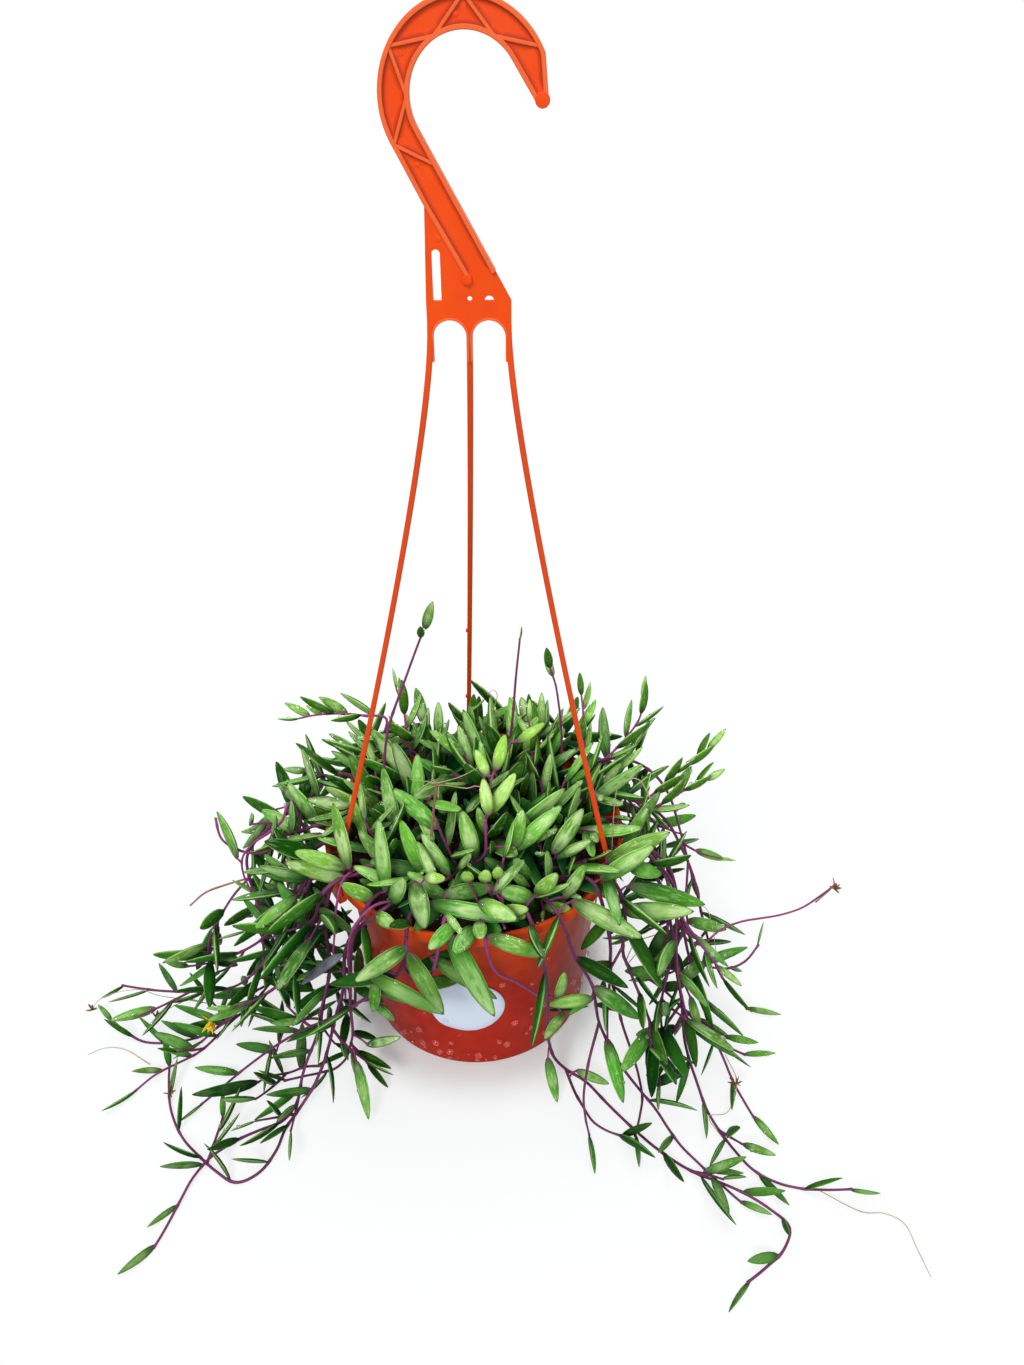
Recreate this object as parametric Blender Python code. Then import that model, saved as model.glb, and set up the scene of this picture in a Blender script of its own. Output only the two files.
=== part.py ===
"""Potted string of pickles in a moulded hanging pot, standing on its base.

The pot, its one-piece hanger, the soil, a blank round label and every rooted stem are separate
objects. Lengths are in millimetres here and become metres when a mesh is made. The origin is the
middle of the pot's base on the surface, +Z is up, and the hook's plane is the XZ plane.
"""
import math

import bmesh
import bpy
import numpy as np

MM = 0.001
GAP = 0.3                      # clearance between pieces that touch

# Pot: thin moulded wall with a rolled rim.
BASE_RADIUS = 59.6
WALL_SLOPE = 0.063             # radius gained per millimetre of height
WALL = 1.6
FLOOR = 2.2
POT_HEIGHT = 118.0
RIM_RADIUS = 76.0
RIM_WALL = 2.4
RIM_DEPTH = 6.0                # height of the rim's outer face
ROLL = 0.9                     # rounding of the base's and rim's edges
FLARE = 102.0                  # height where the wall starts to flare out to the rim
DRAIN_HOLES = 6
DRAIN_RADIUS = 2.0
DRAIN_RING = 46.0

# Soil and label.
SOIL_TOP = 103.0
ROOT_Z = SOIL_TOP + GAP + 0.2  # where every stem starts
LABEL_RADIUS = 20.0
LABEL_HEIGHT = 52.0
LABEL_AZIMUTH = -94.0
LABEL_THICKNESS = 0.4
LABEL_LIFT = GAP + 0.15        # the flat facets of the wall stand a little inside its circle

# Hanger: hook, braced shank, plate and three arms in one moulding.
HOOK = (4.0, 440.0)            # middle of the hook's circles
HOOK_OUTER, HOOK_INNER = 28.8, 18.4
HOOK_MOUTH, INNER_MOUTH = 25.0, 38.0   # angles where the hook's edges turn down to its tip
SHANK_ANGLE = 210.0            # angle where the hook's edges run out into the straight shank
TIP = (29.3, 439.1)
TIP_RADIUS = 2.5
TIP_OUTER_EDGE, TIP_INNER_EDGE = (31.2, 441.0), (27.4, 438.0)
PLATE_LEFT, PLATE_RIGHT = -12.1, 19.1
SHOULDER = (-11.2, 407.4)      # the shank's outer edge meets the plate
PLATE_CORNERS = (376.0, 375.7)  # heights of the plate's left and right corners
SLOT = (-7.9, 375.6, 391.6, 1.5)       # long slot: middle, bottom, top of its straight sides, half width
PIN_HOLE = (3.9, 376.3, 0.9)
HALF_HOLE = (11.0, 375.7, 1.7)
BOSS = (3.1, 383.2, 1.9)       # round knob where the outer flange ends
INNER_FLANGE_FOOT = (13.5, 386.0)
ZIGZAG_FOOT = (-6.6, 420.0)
ZIGZAG_STEP = 30               # degrees from one bend of the zigzag rib to the next
ARCH_Z = 362.6
ARM_GAP_WIDTH = 2.2            # plate left between the arches, a little slimmer than the arms
ARM_WIDTH = 2.4
ARM_DEPTH = 2.6
WEB = 1.8                      # plate thickness
FLANGE_WIDTH, FLANGE_DEPTH = 1.6, 4.4
FLANGE_PROUD = 0.1             # flanges stand this far proud of the web's edge
KNOB_DEPTH = 4.8
RIB_WIDTH, RIB_DEPTH = 1.2, 3.6
ARM_AZIMUTHS = (212.0, 94.0, -30.0)
ARM_DROP, ARM_SPREAD, ARM_RISE = 40.0, 0.26, 50.0   # how far an arm leads straight at each end
CLIP_INNER = RIM_RADIUS + GAP + 0.2
CLIP_WIDTH, CLIP_THICK = 9.0, 2.0
CLIP_TOP, CLIP_BOTTOM = 119.5, 107.0
TOE_TOP, TOE_INNER = 110.6, 74.3

# Stems and leaves.
STEM_RADIUS, SHOOT_RADIUS = 1.0, 0.8
STEM_STEP, CROWN_STEP = 12.0, 6.0
JOINT = 1.6                    # how far a leaf's foot reaches into its stem
STEM_CLEAR = 0.75              # clearance kept between round stems, which are modelled square
LEAF_CLEAR = 0.45
SETTLE_TURNS = 240
FLOOR_CLEAR = 0.3

# Routes of the long stems outside the pot, from the rim to the tip. A height of 0 lies on the surface.
VINES = {
    "vine_right_1": [(39, -67, 126), (46, -68, 104), (58, -66, 70), (64, -70, 42), (78, -78, 16),
                     (92, -87, 0), (104, -110, 0), (127, -135, 0)],
    "vine_right_2": [(27, -73, 126), (35, -75, 90), (37, -66, 40), (42, -66, 10), (56, -70, 0),
                     (86, -105, 0), (122, -130, 0), (145, -143, 0), (143, -155, 0), (122, -170, 0)],
    "vine_right_3": [(64, -45, 128), (73, -51, 106), (75, -51, 72), (92, -47, 50), (110, -49, 30),
                     (126, -53, 12), (144, -56, 0)],
    "vine_right_4": [(72, -30, 128), (92, -38, 110), (101, -44, 70), (107, -52, 36), (112, -66, 8),
                     (122, -98, 0), (135, -119, 0), (154, -128, 0), (178, -132, 8)],
    "vine_right_5": [(74, -22, 128), (96, -28, 108), (110, -34, 70), (120, -34, 48), (140, -26, 36),
                     (154, -14, 40)],
    "vine_right_6": [(76, -14, 128), (96, -24, 104), (110, -34, 66), (120, -46, 28), (134, -72, 2),
                     (141, -92, 0)],
    "vine_right_7": [(58, -52, 126), (66, -54, 92), (70, -55, 56), (80, -62, 18), (86, -80, 0),
                     (78, -104, 0)],
    "vine_right_8": [(77, 8, 128), (98, 10, 112), (114, 6, 84), (124, -4, 50), (134, -14, 20),
                     (150, -28, 2)],
    "vine_right_9": [(68, 36, 130), (88, 42, 122), (106, 46, 100), (118, 44, 66), (126, 40, 36)],
    "vine_left_1": [(-28, -74, 127), (-30, -80, 108), (-38, -80, 92), (-52, -76, 74),
                    (-72, -68, 50), (-98, -62, 24), (-123, -66, 4), (-140, -84, 0)],
    "vine_left_2": [(-40, -68, 127), (-52, -64, 112), (-60, -64, 94), (-64, -66, 66),
                    (-72, -68, 38), (-80, -76, 12), (-93, -92, 0), (-98, -112, 0), (-112, -124, 0),
                    (-139, -107, 0), (-156, -84, 0), (-162, -60, 0)],
    "vine_left_3": [(-62, -46, 128), (-70, -52, 108), (-70, -56, 82), (-76, -60, 48),
                    (-87, -72, 12), (-95, -91, 0), (-117, -103, 0), (-130, -116, 0),
                    (-144, -154, 0)],
    "vine_left_4": [(-71, -33, 126), (-88, -35, 102), (-108, -33, 70), (-132, -31, 50),
                    (-154, -29, 42)],
    "vine_left_5": [(-70, -40, 127), (-84, -43, 106), (-100, -40, 72), (-125, -36, 36),
                    (-157, -30, 22), (-195, -24, 20)],
    "vine_left_6": [(-66, -50, 126), (-76, -54, 104), (-92, -50, 62), (-126, -42, 22),
                    (-155, -46, 0), (-180, -46, 0), (-202, -34, 4)],
    "vine_left_7": [(-74, -24, 126), (-90, -20, 98), (-97, -12, 58), (-110, -10, 20),
                    (-132, -30, 0), (-154, -60, 0), (-176, -76, 0)],
    "vine_left_8": [(-78, 6, 130), (-104, 4, 114), (-120, -2, 94), (-114, -15, 64), (-116, -26, 36),
                    (-134, -34, 12), (-150, -46, 0)],
    "vine_left_9": [(-77, -12, 128), (-96, -14, 118), (-112, -14, 110), (-128, -6, 110),
                    (-134, 6, 116)],
    "vine_left_10": [(-46, -62, 127), (-56, -68, 100), (-60, -70, 56), (-64, -64, 22),
                     (-74, -64, 2), (-100, -70, 0)],
    "vine_front_1": [(-12, -76, 127), (-16, -83, 108), (-22, -84, 88), (-20, -80, 70)],
    "vine_front_2": [(6, -77, 127), (10, -84, 108), (22, -80, 92), (34, -76, 74)],
}
# Shorter stems that fall over the rim where no long one does: azimuth, landing radius, end height.
SHORT_VINES = ((30.0, 112.0, 30.0), (52.0, 104.0, 8.0), (76.0, 108.0, 0.0), (112.0, 106.0, 12.0),
               (134.0, 110.0, 0.0), (158.0, 122.0, 24.0))
# Upright stalks in the crown and one dried flower stalk that leans out to the right.
STALKS = {
    "tall_bud_stalk": [(-40, 6, ROOT_Z), (-45, 5, 136), (-42, 5, 168), (-33, 5, 198),
                       (-20, 5, 232)],
    "small_bud_stalk": [(14, 24, ROOT_Z), (17, 25, 139), (21, 25, 183), (23, 25, 214)],
    "leafy_stalk": [(46, 30, ROOT_Z), (45, 30, 150), (42, 30, 180), (38, 30, 194)],
    "dried_flower_stalk": [(58, -14, ROOT_Z), (70, -16, 132), (92, -22, 112), (112, -30, 60),
                           (135, -18, 60), (173, -12, 66), (188, -13, 86)],
}
CROWN_STEMS = 18
CROWN_RADIUS = 58.0
GOLDEN_ANGLE = 137.5           # turn from one leaf or crown stem to the next
LONG_VINE = 170.0              # vines longer than this carry a side shoot half-way
# Leaves by kind of stem: first place along it, count, opening angles, lengths, upward lean.
LEAF_PLANS = {
    "vine": (0.34, 6, (35, 60), (22, 31), 0.0),
    "shoot": (0.6, 2, (35, 60), (18, 26), 0.0),
    "crown": (0.4, 6, (40, 62), (24, 33), 0.25),
    "leafy_stalk": (0.94, 2, (25, 35), (13, 17), 0.2),
    "tall_bud_stalk": (1.0, 1, (10, 20), (12, 18), 0.4),
    "small_bud_stalk": (1.0, 1, (10, 20), (12, 18), 0.4),
}


def clear_scene():
    for obj in list(bpy.data.objects):
        bpy.data.objects.remove(obj, do_unlink=True)


def material(name, colour, roughness, metallic=0.0):
    mat = bpy.data.materials.new(name)
    mat.use_nodes = True
    shader = mat.node_tree.nodes["Principled BSDF"]
    shader.inputs["Base Color"].default_value = (*colour, 1.0)
    shader.inputs["Roughness"].default_value = roughness
    shader.inputs["Metallic"].default_value = metallic
    return mat


def make_object(name, verts, faces, mat=None):
    """A mesh object from millimetre points, with its faces turned outwards."""
    mesh = bpy.data.meshes.new(name)
    mesh.from_pydata([tuple(float(c) * MM for c in v) for v in verts], [],
                     [tuple(map(int, face)) for face in faces])
    bm = bmesh.new()
    bm.from_mesh(mesh)
    bmesh.ops.recalc_face_normals(bm, faces=bm.faces)
    bm.to_mesh(mesh)
    bm.free()
    obj = bpy.data.objects.new(name, mesh)
    bpy.context.collection.objects.link(obj)
    if mat:
        mesh.materials.append(mat)
    return obj


def combine(obj, others, operation="UNION"):
    """Apply a Boolean of obj with each other object in turn, then remove the others."""
    for other in others:
        step = obj.modifiers.new("boolean", "BOOLEAN")
        step.operation = operation
        step.solver = "EXACT"
        step.use_self = operation == "UNION"
        step.object = other
        depsgraph = bpy.context.evaluated_depsgraph_get()
        result = bpy.data.meshes.new_from_object(obj.evaluated_get(depsgraph))
        obj.modifiers.remove(step)
        obj.data = result
        bpy.data.objects.remove(other, do_unlink=True)
    return obj


def merged(parts):
    """Join (points, faces) pairs into one pair."""
    verts, faces = [], []
    for points, polygons in parts:
        start = len(verts)
        verts.extend(points)
        faces.extend([tuple(i + start for i in face) for face in polygons])
    return verts, faces


def turned(profile, segments):
    """Turn a closed (radius, z) outline round the Z axis; points on the axis stay single."""
    verts, rings = [], []
    for radius, z in profile:
        if radius == 0:
            rings.append([len(verts)] * segments)
            verts.append((0.0, 0.0, z))
        else:
            rings.append(list(range(len(verts), len(verts) + segments)))
            verts += [(radius * math.cos(a), radius * math.sin(a), z)
                      for a in (2 * math.pi * k / segments for k in range(segments))]
    faces = []
    for i, ring in enumerate(rings):
        after = rings[(i + 1) % len(rings)]
        for k in range(segments):
            n = (k + 1) % segments
            corners = dict.fromkeys((ring[k], ring[n], after[n], after[k]))
            if len(corners) > 2:
                faces.append(tuple(corners))
    return verts, faces


def prism(outline, depth, centre_y=0.0):
    """Extrude an (x, z) outline along Y, half of the depth each way."""
    count = len(outline)
    verts = [(x, centre_y + side * depth / 2, z) for side in (-1, 1) for x, z in outline]
    faces = [tuple(range(count)), tuple(range(2 * count - 1, count - 1, -1))]
    faces += [(k, (k + 1) % count, count + (k + 1) % count, count + k) for k in range(count)]
    return verts, faces


def strip(line, before, after, depth):
    """A rib along an (x, z) line: it reaches before to one side of the line and after to the other."""
    line = np.array(line, float)
    along = np.gradient(line, axis=0)
    along /= np.linalg.norm(along, axis=1)[:, None]
    across = np.stack([-along[:, 1], along[:, 0]], axis=1)
    left, right = line + across * before, line - across * after
    count = len(line)
    verts = [(x, y * depth / 2, z) for y in (-1, 1) for x, z in (*left, *right)]
    faces = []
    for k in range(count - 1):
        a, b, c, d = k, k + 1, count + k + 1, count + k
        back = 2 * count
        faces += [(a, b, c, d), (d + back, c + back, b + back, a + back), (a, a + back, b + back, b),
                  (d, c, c + back, d + back)]
    last = count - 1
    faces += [(0, count, 3 * count, 2 * count), (last, last + 2 * count, last + 3 * count, last + count)]
    return verts, faces


def arc(x, z, radius, start, end, steps):
    """Points on a circle in the XZ plane, with both angles in degrees."""
    angles = np.radians(np.linspace(start, end, steps + 1))
    return [(x + radius * math.cos(a), z + radius * math.sin(a)) for a in angles]


def tube(path, radii, sides=4, flat=None):
    """A closed tube along a path; flat squeezes its section to (width, depth) halves along X and Y."""
    path = np.array(path, float)
    tangents = np.gradient(path, axis=0)
    tangents /= np.linalg.norm(tangents, axis=1)[:, None]
    side = np.cross(tangents[0], (0.0, 1.0, 0.0) if abs(tangents[0][1]) < 0.8 else (1.0, 0.0, 0.0))
    verts = []
    for point, tangent, radius in zip(path, tangents, radii):
        side = side - tangent * side.dot(tangent)
        side /= np.linalg.norm(side)
        other = np.cross(tangent, side)
        for k in range(sides):
            angle = 2 * math.pi * (k + 0.5) / sides
            wide, deep = (radius, radius) if flat is None else (h * math.sqrt(2) for h in flat)
            verts.append(point + side * math.cos(angle) * wide + other * math.sin(angle) * deep)
    faces = [tuple(range(sides)), tuple(range(len(verts) - 1, len(verts) - sides - 1, -1))]
    for i in range(len(path) - 1):
        for k in range(sides):
            n = (k + 1) % sides
            faces.append((i * sides + k, i * sides + n, (i + 1) * sides + n, (i + 1) * sides + k))
    return verts, faces


def wall_radius(z):
    return BASE_RADIUS + WALL_SLOPE * z


def outer_radius(z):
    """The pot's outside, from the wall through the flare to the rim."""
    return np.interp(z, (0.0, FLARE, POT_HEIGHT - RIM_DEPTH),
                     (BASE_RADIUS, wall_radius(FLARE), RIM_RADIUS))


def polar(radius, azimuth, z):
    angle = math.radians(azimuth)
    return np.array((radius * math.cos(angle), radius * math.sin(angle), z))


# ------------------------------------------------------------------ pot, soil and label

def build_pot(mat):
    lip_under = POT_HEIGHT - RIM_DEPTH
    neck = wall_radius(FLARE)
    profile = [(0.0, 0.0), (BASE_RADIUS - ROLL, 0.0), (BASE_RADIUS, ROLL), (neck, FLARE),
               (RIM_RADIUS - ROLL, lip_under), (RIM_RADIUS, lip_under + ROLL),
               (RIM_RADIUS, POT_HEIGHT - ROLL), (RIM_RADIUS - ROLL, POT_HEIGHT),
               (RIM_RADIUS - RIM_WALL + ROLL / 2, POT_HEIGHT),
               (RIM_RADIUS - RIM_WALL - ROLL / 2, lip_under + WALL), (neck - WALL, FLARE + ROLL),
               (BASE_RADIUS - WALL, FLOOR), (0.0, FLOOR)]
    pot = make_object("pot", *turned(profile, 36), mat)
    holes = []
    for k in range(DRAIN_HOLES):
        verts, faces = turned([(0.0, -FLOOR), (DRAIN_RADIUS, -FLOOR), (DRAIN_RADIUS, 2 * FLOOR),
                               (0.0, 2 * FLOOR)], 6)
        shift = polar(DRAIN_RING, 360.0 * (k + 0.5) / DRAIN_HOLES, 0.0)
        holes.append(([np.array(v) + shift for v in verts], faces))
    return combine(pot, [make_object("drain_cutter", *merged(holes))], "DIFFERENCE")


def build_soil(mat):
    low, high = FLOOR + GAP, SOIL_TOP - 2.0
    side = wall_radius(high) - WALL
    profile = [(0.0, low), (BASE_RADIUS - WALL - 2 * GAP, low), (side - 2 * GAP, high),
               (side - 5.0, SOIL_TOP - 0.1), (0.0, SOIL_TOP)]
    return make_object("soil", *turned(profile, 32), mat)


def build_label(mat):
    """A thin disc bent round the pot's wall."""
    rings, spokes = 2, 24
    layers = []
    for lift in (LABEL_LIFT, LABEL_LIFT + LABEL_THICKNESS):
        angles = np.linspace(0, 2 * math.pi, spokes, endpoint=False)
        points = [(0.0, 0.0)]
        points += [(LABEL_RADIUS * r / rings * math.cos(a), LABEL_RADIUS * r / rings * math.sin(a))
                   for r in range(1, rings + 1) for a in angles]
        for u, v in points:
            z = LABEL_HEIGHT + v
            radius = wall_radius(z) + lift
            layers.append(polar(radius, LABEL_AZIMUTH + math.degrees(u / radius), z))
    count = 1 + rings * spokes
    faces = []
    for start in (0, count):
        for k in range(spokes):
            n = (k + 1) % spokes
            faces.append((start, start + 1 + k, start + 1 + n))
            faces.append((start + 1 + k, start + 1 + spokes + k, start + 1 + spokes + n, start + 1 + n))
    rim = 1 + (rings - 1) * spokes
    faces += [(rim + k, rim + (k + 1) % spokes, count + rim + (k + 1) % spokes, count + rim + k)
              for k in range(spokes)]
    return make_object("label", layers, faces, mat)


# ------------------------------------------------------------------ hanger

def arm_path(start_x, azimuth, steps=9):
    """An arm leaves the plate straight down, then runs out in a straight slant to its clip."""
    start = np.array((start_x, 0.0, ARCH_Z + 4.0))
    end = polar(CLIP_INNER + CLIP_THICK / 2, azimuth, CLIP_TOP - 1.0)
    flat = (end - start) * (1.0, 1.0, 0.0)
    bend, lead = start - (0.0, 0.0, ARM_DROP), end - flat * ARM_SPREAD + (0.0, 0.0, ARM_RISE)
    t = np.linspace(0.0, 1.0, steps + 1)[:, None]
    return (1 - t) ** 3 * start + 3 * (1 - t) ** 2 * t * bend + 3 * (1 - t) * t ** 2 * lead + t ** 3 * end


def arm_starts():
    middle = (PLATE_LEFT + PLATE_RIGHT) / 2
    return (PLATE_LEFT + ARM_GAP_WIDTH / 2, middle, PLATE_RIGHT - ARM_GAP_WIDTH / 2)


def clip_box(azimuth, inner, outer, low, high, width):
    """A block outside the rim: radial reach, height and width along the rim."""
    out, round_rim = polar(1.0, azimuth, 0.0), polar(1.0, azimuth + 90.0, 0.0)
    half = width / 2
    corners = [out * r + round_rim * w + np.array((0.0, 0.0, z)) for z in (low, high)
               for r, w in ((inner, -half), (outer, -half), (outer, half), (inner, half))]
    faces = [(0, 1, 2, 3), (7, 6, 5, 4), (0, 4, 5, 1), (1, 5, 6, 2), (2, 6, 7, 3), (3, 7, 4, 0)]
    return corners, faces


def build_hanger(mat):
    starts = arm_starts()
    arch = (starts[1] - starts[0] - ARM_GAP_WIDTH) / 2
    outer = arc(*HOOK, HOOK_OUTER, HOOK_MOUTH, SHANK_ANGLE, 18)
    inner = arc(*HOOK, HOOK_INNER, SHANK_ANGLE, INNER_MOUTH, 14)
    arches = []
    for left, right in zip(starts, starts[1:]):
        arches += arc((left + right) / 2, ARCH_Z, arch, 180.0, 0.0, 6)
    outline = [TIP_OUTER_EDGE, *outer, SHOULDER, (PLATE_LEFT, PLATE_CORNERS[0]), (PLATE_LEFT, ARCH_Z),
               *arches, (PLATE_RIGHT, ARCH_Z), (PLATE_RIGHT, PLATE_CORNERS[1]), *inner, TIP_INNER_EDGE]
    hanger = make_object("hanger", *prism(outline, WEB), mat)

    middle, bottom, top, half = SLOT
    slot = [(middle + half, bottom), *arc(middle, top, half, 0.0, 180.0, 4), (middle - half, bottom)]
    pin_hole = arc(*PIN_HOLE, 0.0, 360.0, 8)[:-1]
    half_hole = arc(*HALF_HOLE, 0.0, 180.0, 6)
    cutters = [make_object("cutter", *prism(shape, 3 * WEB)) for shape in (slot, pin_hole, half_hole)]
    combine(hanger, cutters, "DIFFERENCE")

    flange = (FLANGE_WIDTH - FLANGE_PROUD, FLANGE_PROUD, FLANGE_DEPTH)
    zigzag = [ZIGZAG_FOOT]
    for k, angle in enumerate(range(int(SHANK_ANGLE), int(HOOK_MOUTH), -ZIGZAG_STEP)):
        radius = HOOK_INNER + FLANGE_WIDTH / 2 if k % 2 else HOOK_OUTER - FLANGE_WIDTH / 2
        zigzag += arc(*HOOK, radius, angle, angle, 0)
    pieces = [strip([TIP_OUTER_EDGE, *outer, SHOULDER, BOSS[:2]], *flange),
              strip([INNER_FLANGE_FOOT, *inner, TIP_INNER_EDGE], *flange),
              strip(zigzag, RIB_WIDTH / 2, RIB_WIDTH / 2, RIB_DEPTH),
              prism(arc(*TIP, TIP_RADIUS, 0.0, 360.0, 12)[:-1], KNOB_DEPTH),
              prism(arc(*BOSS, 0.0, 360.0, 8)[:-1], KNOB_DEPTH)]
    for start_x, azimuth in zip(starts, ARM_AZIMUTHS):
        path = arm_path(start_x, azimuth)
        clip_outer = CLIP_INNER + CLIP_THICK
        pieces += [tube(path, [1.0] * len(path), 4, (ARM_WIDTH / 2, ARM_DEPTH / 2)),
                   clip_box(azimuth, CLIP_INNER, clip_outer, CLIP_BOTTOM, CLIP_TOP, CLIP_WIDTH),
                   clip_box(azimuth, TOE_INNER, CLIP_INNER + 0.5, CLIP_BOTTOM + 0.1, TOE_TOP,
                            CLIP_WIDTH - 1.0)]
    return combine(hanger, [make_object("piece", *piece) for piece in pieces])


# ------------------------------------------------------------------ growing the plant

class Crowd:
    """Balls that stand for everything placed so far, so that each new piece keeps clear of it."""

    def __init__(self):
        self.points = np.zeros((0, 3))
        self.radii = np.zeros(0)
        self.owners = np.zeros(0, int)

    def add(self, points, radii, owner):
        self.points = np.vstack([self.points, points])
        self.radii = np.concatenate([self.radii, np.broadcast_to(radii, len(points))])
        self.owners = np.concatenate([self.owners, np.full(len(points), owner)])

    def gaps(self, points, radii):
        """Clear distance from each new ball to each placed ball, negative where they overlap."""
        apart = np.linalg.norm(points[:, None] - self.points[None], axis=2)
        return apart - np.asarray(radii)[:, None] - self.radii[None]


def resample(points, step):
    """Catmull-Rom curve through the points, cut into equal steps."""
    points = np.array(points, float)
    ends = np.vstack([2 * points[0] - points[1], points, 2 * points[-1] - points[-2]])
    t = np.linspace(0.0, 1.0, 12, endpoint=False)[:, None]
    curve = []
    for a, b, c, d in zip(ends, ends[1:], ends[2:], ends[3:]):
        curve.append(0.5 * (2 * b + (c - a) * t + (2 * a - 5 * b + 4 * c - d) * t ** 2
                            + (3 * b - a - 3 * c + d) * t ** 3))
    curve = np.vstack(curve + [points[-1:]])
    length = np.concatenate([[0.0], np.cumsum(np.linalg.norm(np.diff(curve, axis=0), axis=1))])
    even = np.linspace(0.0, length[-1], max(3, int(round(length[-1] / step)) + 1))
    return np.stack([np.interp(even, length, curve[:, axis]) for axis in range(3)], axis=1)


def fill(path, step=1.6):
    """Points every step along the straight stretches of a path."""
    length = np.concatenate([[0.0], np.cumsum(np.linalg.norm(np.diff(path, axis=0), axis=1))])
    even = np.linspace(0.0, length[-1], int(length[-1] / step) + 2)
    return np.stack([np.interp(even, length, path[:, axis]) for axis in range(3)], axis=1)


def clear_of_pot(path, outside_from, radius):
    """Move path points off the pot: inside the wall up to the rim, outside it from there on."""
    path = path.copy()
    reach = np.hypot(path[:, 0], path[:, 1])
    inside = np.arange(len(path)) < outside_from
    top = POT_HEIGHT + radius + 0.6
    limit = np.full(len(path), np.inf)
    low = inside & (path[:, 2] < top)
    limit[low] = wall_radius(SOIL_TOP) - WALL - radius - 2.0
    scale = np.minimum(1.0, limit / np.maximum(reach, 1e-6))
    outer = np.where(path[:, 2] > FLARE, RIM_RADIUS, outer_radius(path[:, 2]) + LABEL_THICKNESS + GAP)
    out = ~inside & (path[:, 2] < top)
    clear = outer + radius + 0.8
    scale = np.where(out & (reach < clear), clear / np.maximum(reach, 1e-6), scale)
    path[:, :2] *= scale[:, None]
    path[:, 2] = np.maximum(path[:, 2], radius + FLOOR_CLEAR)
    return path


def settle(path, crowd, outside_from, radius, skip=None):
    """Push a stem's points away from what is already there, a little at a time, keeping it smooth."""
    path = clear_of_pot(path, outside_from, radius)
    others = np.ones(len(crowd.radii), bool) if skip is None else ~skip
    centres, sizes = crowd.points[others], crowd.radii[others]
    if not len(sizes):
        return path
    for turn in range(SETTLE_TURNS):
        dense = np.vstack([path, (path[1:] + path[:-1]) / 2])
        offset = dense[:, None] - centres[None]
        apart = np.linalg.norm(offset, axis=2) + 1e-9
        short = radius + sizes[None] + STEM_CLEAR - apart
        worst = short.argmax(axis=1)
        depth = np.maximum(short[np.arange(len(dense)), worst], 0.0)
        if depth.max() <= 0.0:
            break
        away = offset[np.arange(len(dense)), worst] / apart[np.arange(len(dense)), worst][:, None]
        away[:, 2] += 0.6 * (away[:, 2] > -0.5)
        step = away / np.linalg.norm(away, axis=1)[:, None] * depth[:, None]
        push = step[:len(path)].copy()
        push[1:] += step[len(path):] * 0.6
        push[:-1] += step[len(path):] * 0.6
        push[0] *= (0.0, 0.0, 0.0) if skip is not None else (1.0, 1.0, 0.0)
        if turn < SETTLE_TURNS * 0.7:
            push[1:-1] = push[1:-1] * 0.7 + (push[2:] + push[:-2]) * 0.25
        path = clear_of_pot(path + push, outside_from, radius)
    return path


def leaf_balls(base, direction, length, width):
    """Balls along a leaf; the first two lie in the part that joins the stem."""
    t = np.array((0.05, 0.18, 0.32, 0.46, 0.60, 0.74, 0.88, 0.98))
    size = np.array((0.25, 0.6, 0.95, 1.0, 1.0, 0.9, 0.55, 0.15)) * width / 2
    return base + direction * length * t[:, None], size + 0.15


def leaf_fits(crowd, owner, points, radii):
    reach = np.hypot(points[:, 0], points[:, 1])
    z = points[:, 2]
    if (z - radii < FLOOR_CLEAR).any():
        return False
    wall = outer_radius(z)
    inside = reach <= wall - RIM_WALL - 0.8 - radii
    outside = reach >= wall + LABEL_THICKNESS + 2 * GAP + 0.2 + radii
    if (~inside & ~outside & (z < POT_HEIGHT + radii + GAP)).any():
        return False
    if (inside & (z < SOIL_TOP + radii + 0.6)).any():
        return False
    gaps = crowd.gaps(points, radii)
    own = crowd.owners == owner
    return gaps[:, ~own].min(initial=9.0) > LEAF_CLEAR and gaps[2:][:, own].min(initial=9.0) > 0.3


def place_leaves(crowd, owner, path, sites, rng, spread, lengths, lift):
    """Leaves at the given fractions of a stem, each turned until it fits; the last points onward."""
    leaves = []
    tangents = np.gradient(path, axis=0)
    tangents /= np.linalg.norm(tangents, axis=1)[:, None]
    turn = rng.uniform(0.0, 2 * math.pi)
    for site in sites:
        at = min(site, 1.0 - JOINT / (STEM_STEP * len(path))) * (len(path) - 1)
        k = min(int(at), len(path) - 2)
        base = path[k] + (path[k + 1] - path[k]) * (at - k)
        tangent = tangents[min(k + 1, len(path) - 1)]
        side = np.cross(tangent, (0.0, 0.0, 1.0))
        side = side / np.linalg.norm(side) if np.linalg.norm(side) > 0.1 else np.array((1.0, 0.0, 0.0))
        upper = np.cross(side, tangent)
        turn += math.radians(GOLDEN_ANGLE)
        length = rng.uniform(*lengths)
        width = length * rng.uniform(0.19, 0.24)
        open_angle = math.radians(rng.uniform(*spread)) * (0.15 if site > 0.99 else 1.0)
        for attempt in range(24):
            angle = turn + attempt * math.radians(47.0)
            across = side * math.cos(angle) + upper * math.sin(angle)
            direction = tangent * math.cos(open_angle) + across * math.sin(open_angle)
            direction = direction + (0.0, 0.0, lift)
            direction /= np.linalg.norm(direction)
            rest = (width * 0.62 + FLOOR_CLEAR + 0.3 - base[2]) / length
            if direction[2] < rest:
                direction[2] = rest
                direction /= np.linalg.norm(direction)
            points, radii = leaf_balls(base, direction, length, width)
            if leaf_fits(crowd, owner, points, radii):
                crowd.add(points, radii, owner)
                leaves.append((base, direction, length, width))
                break
            length *= 0.985
            open_angle = min(open_angle + 0.06, 1.3)
    return leaves


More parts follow.
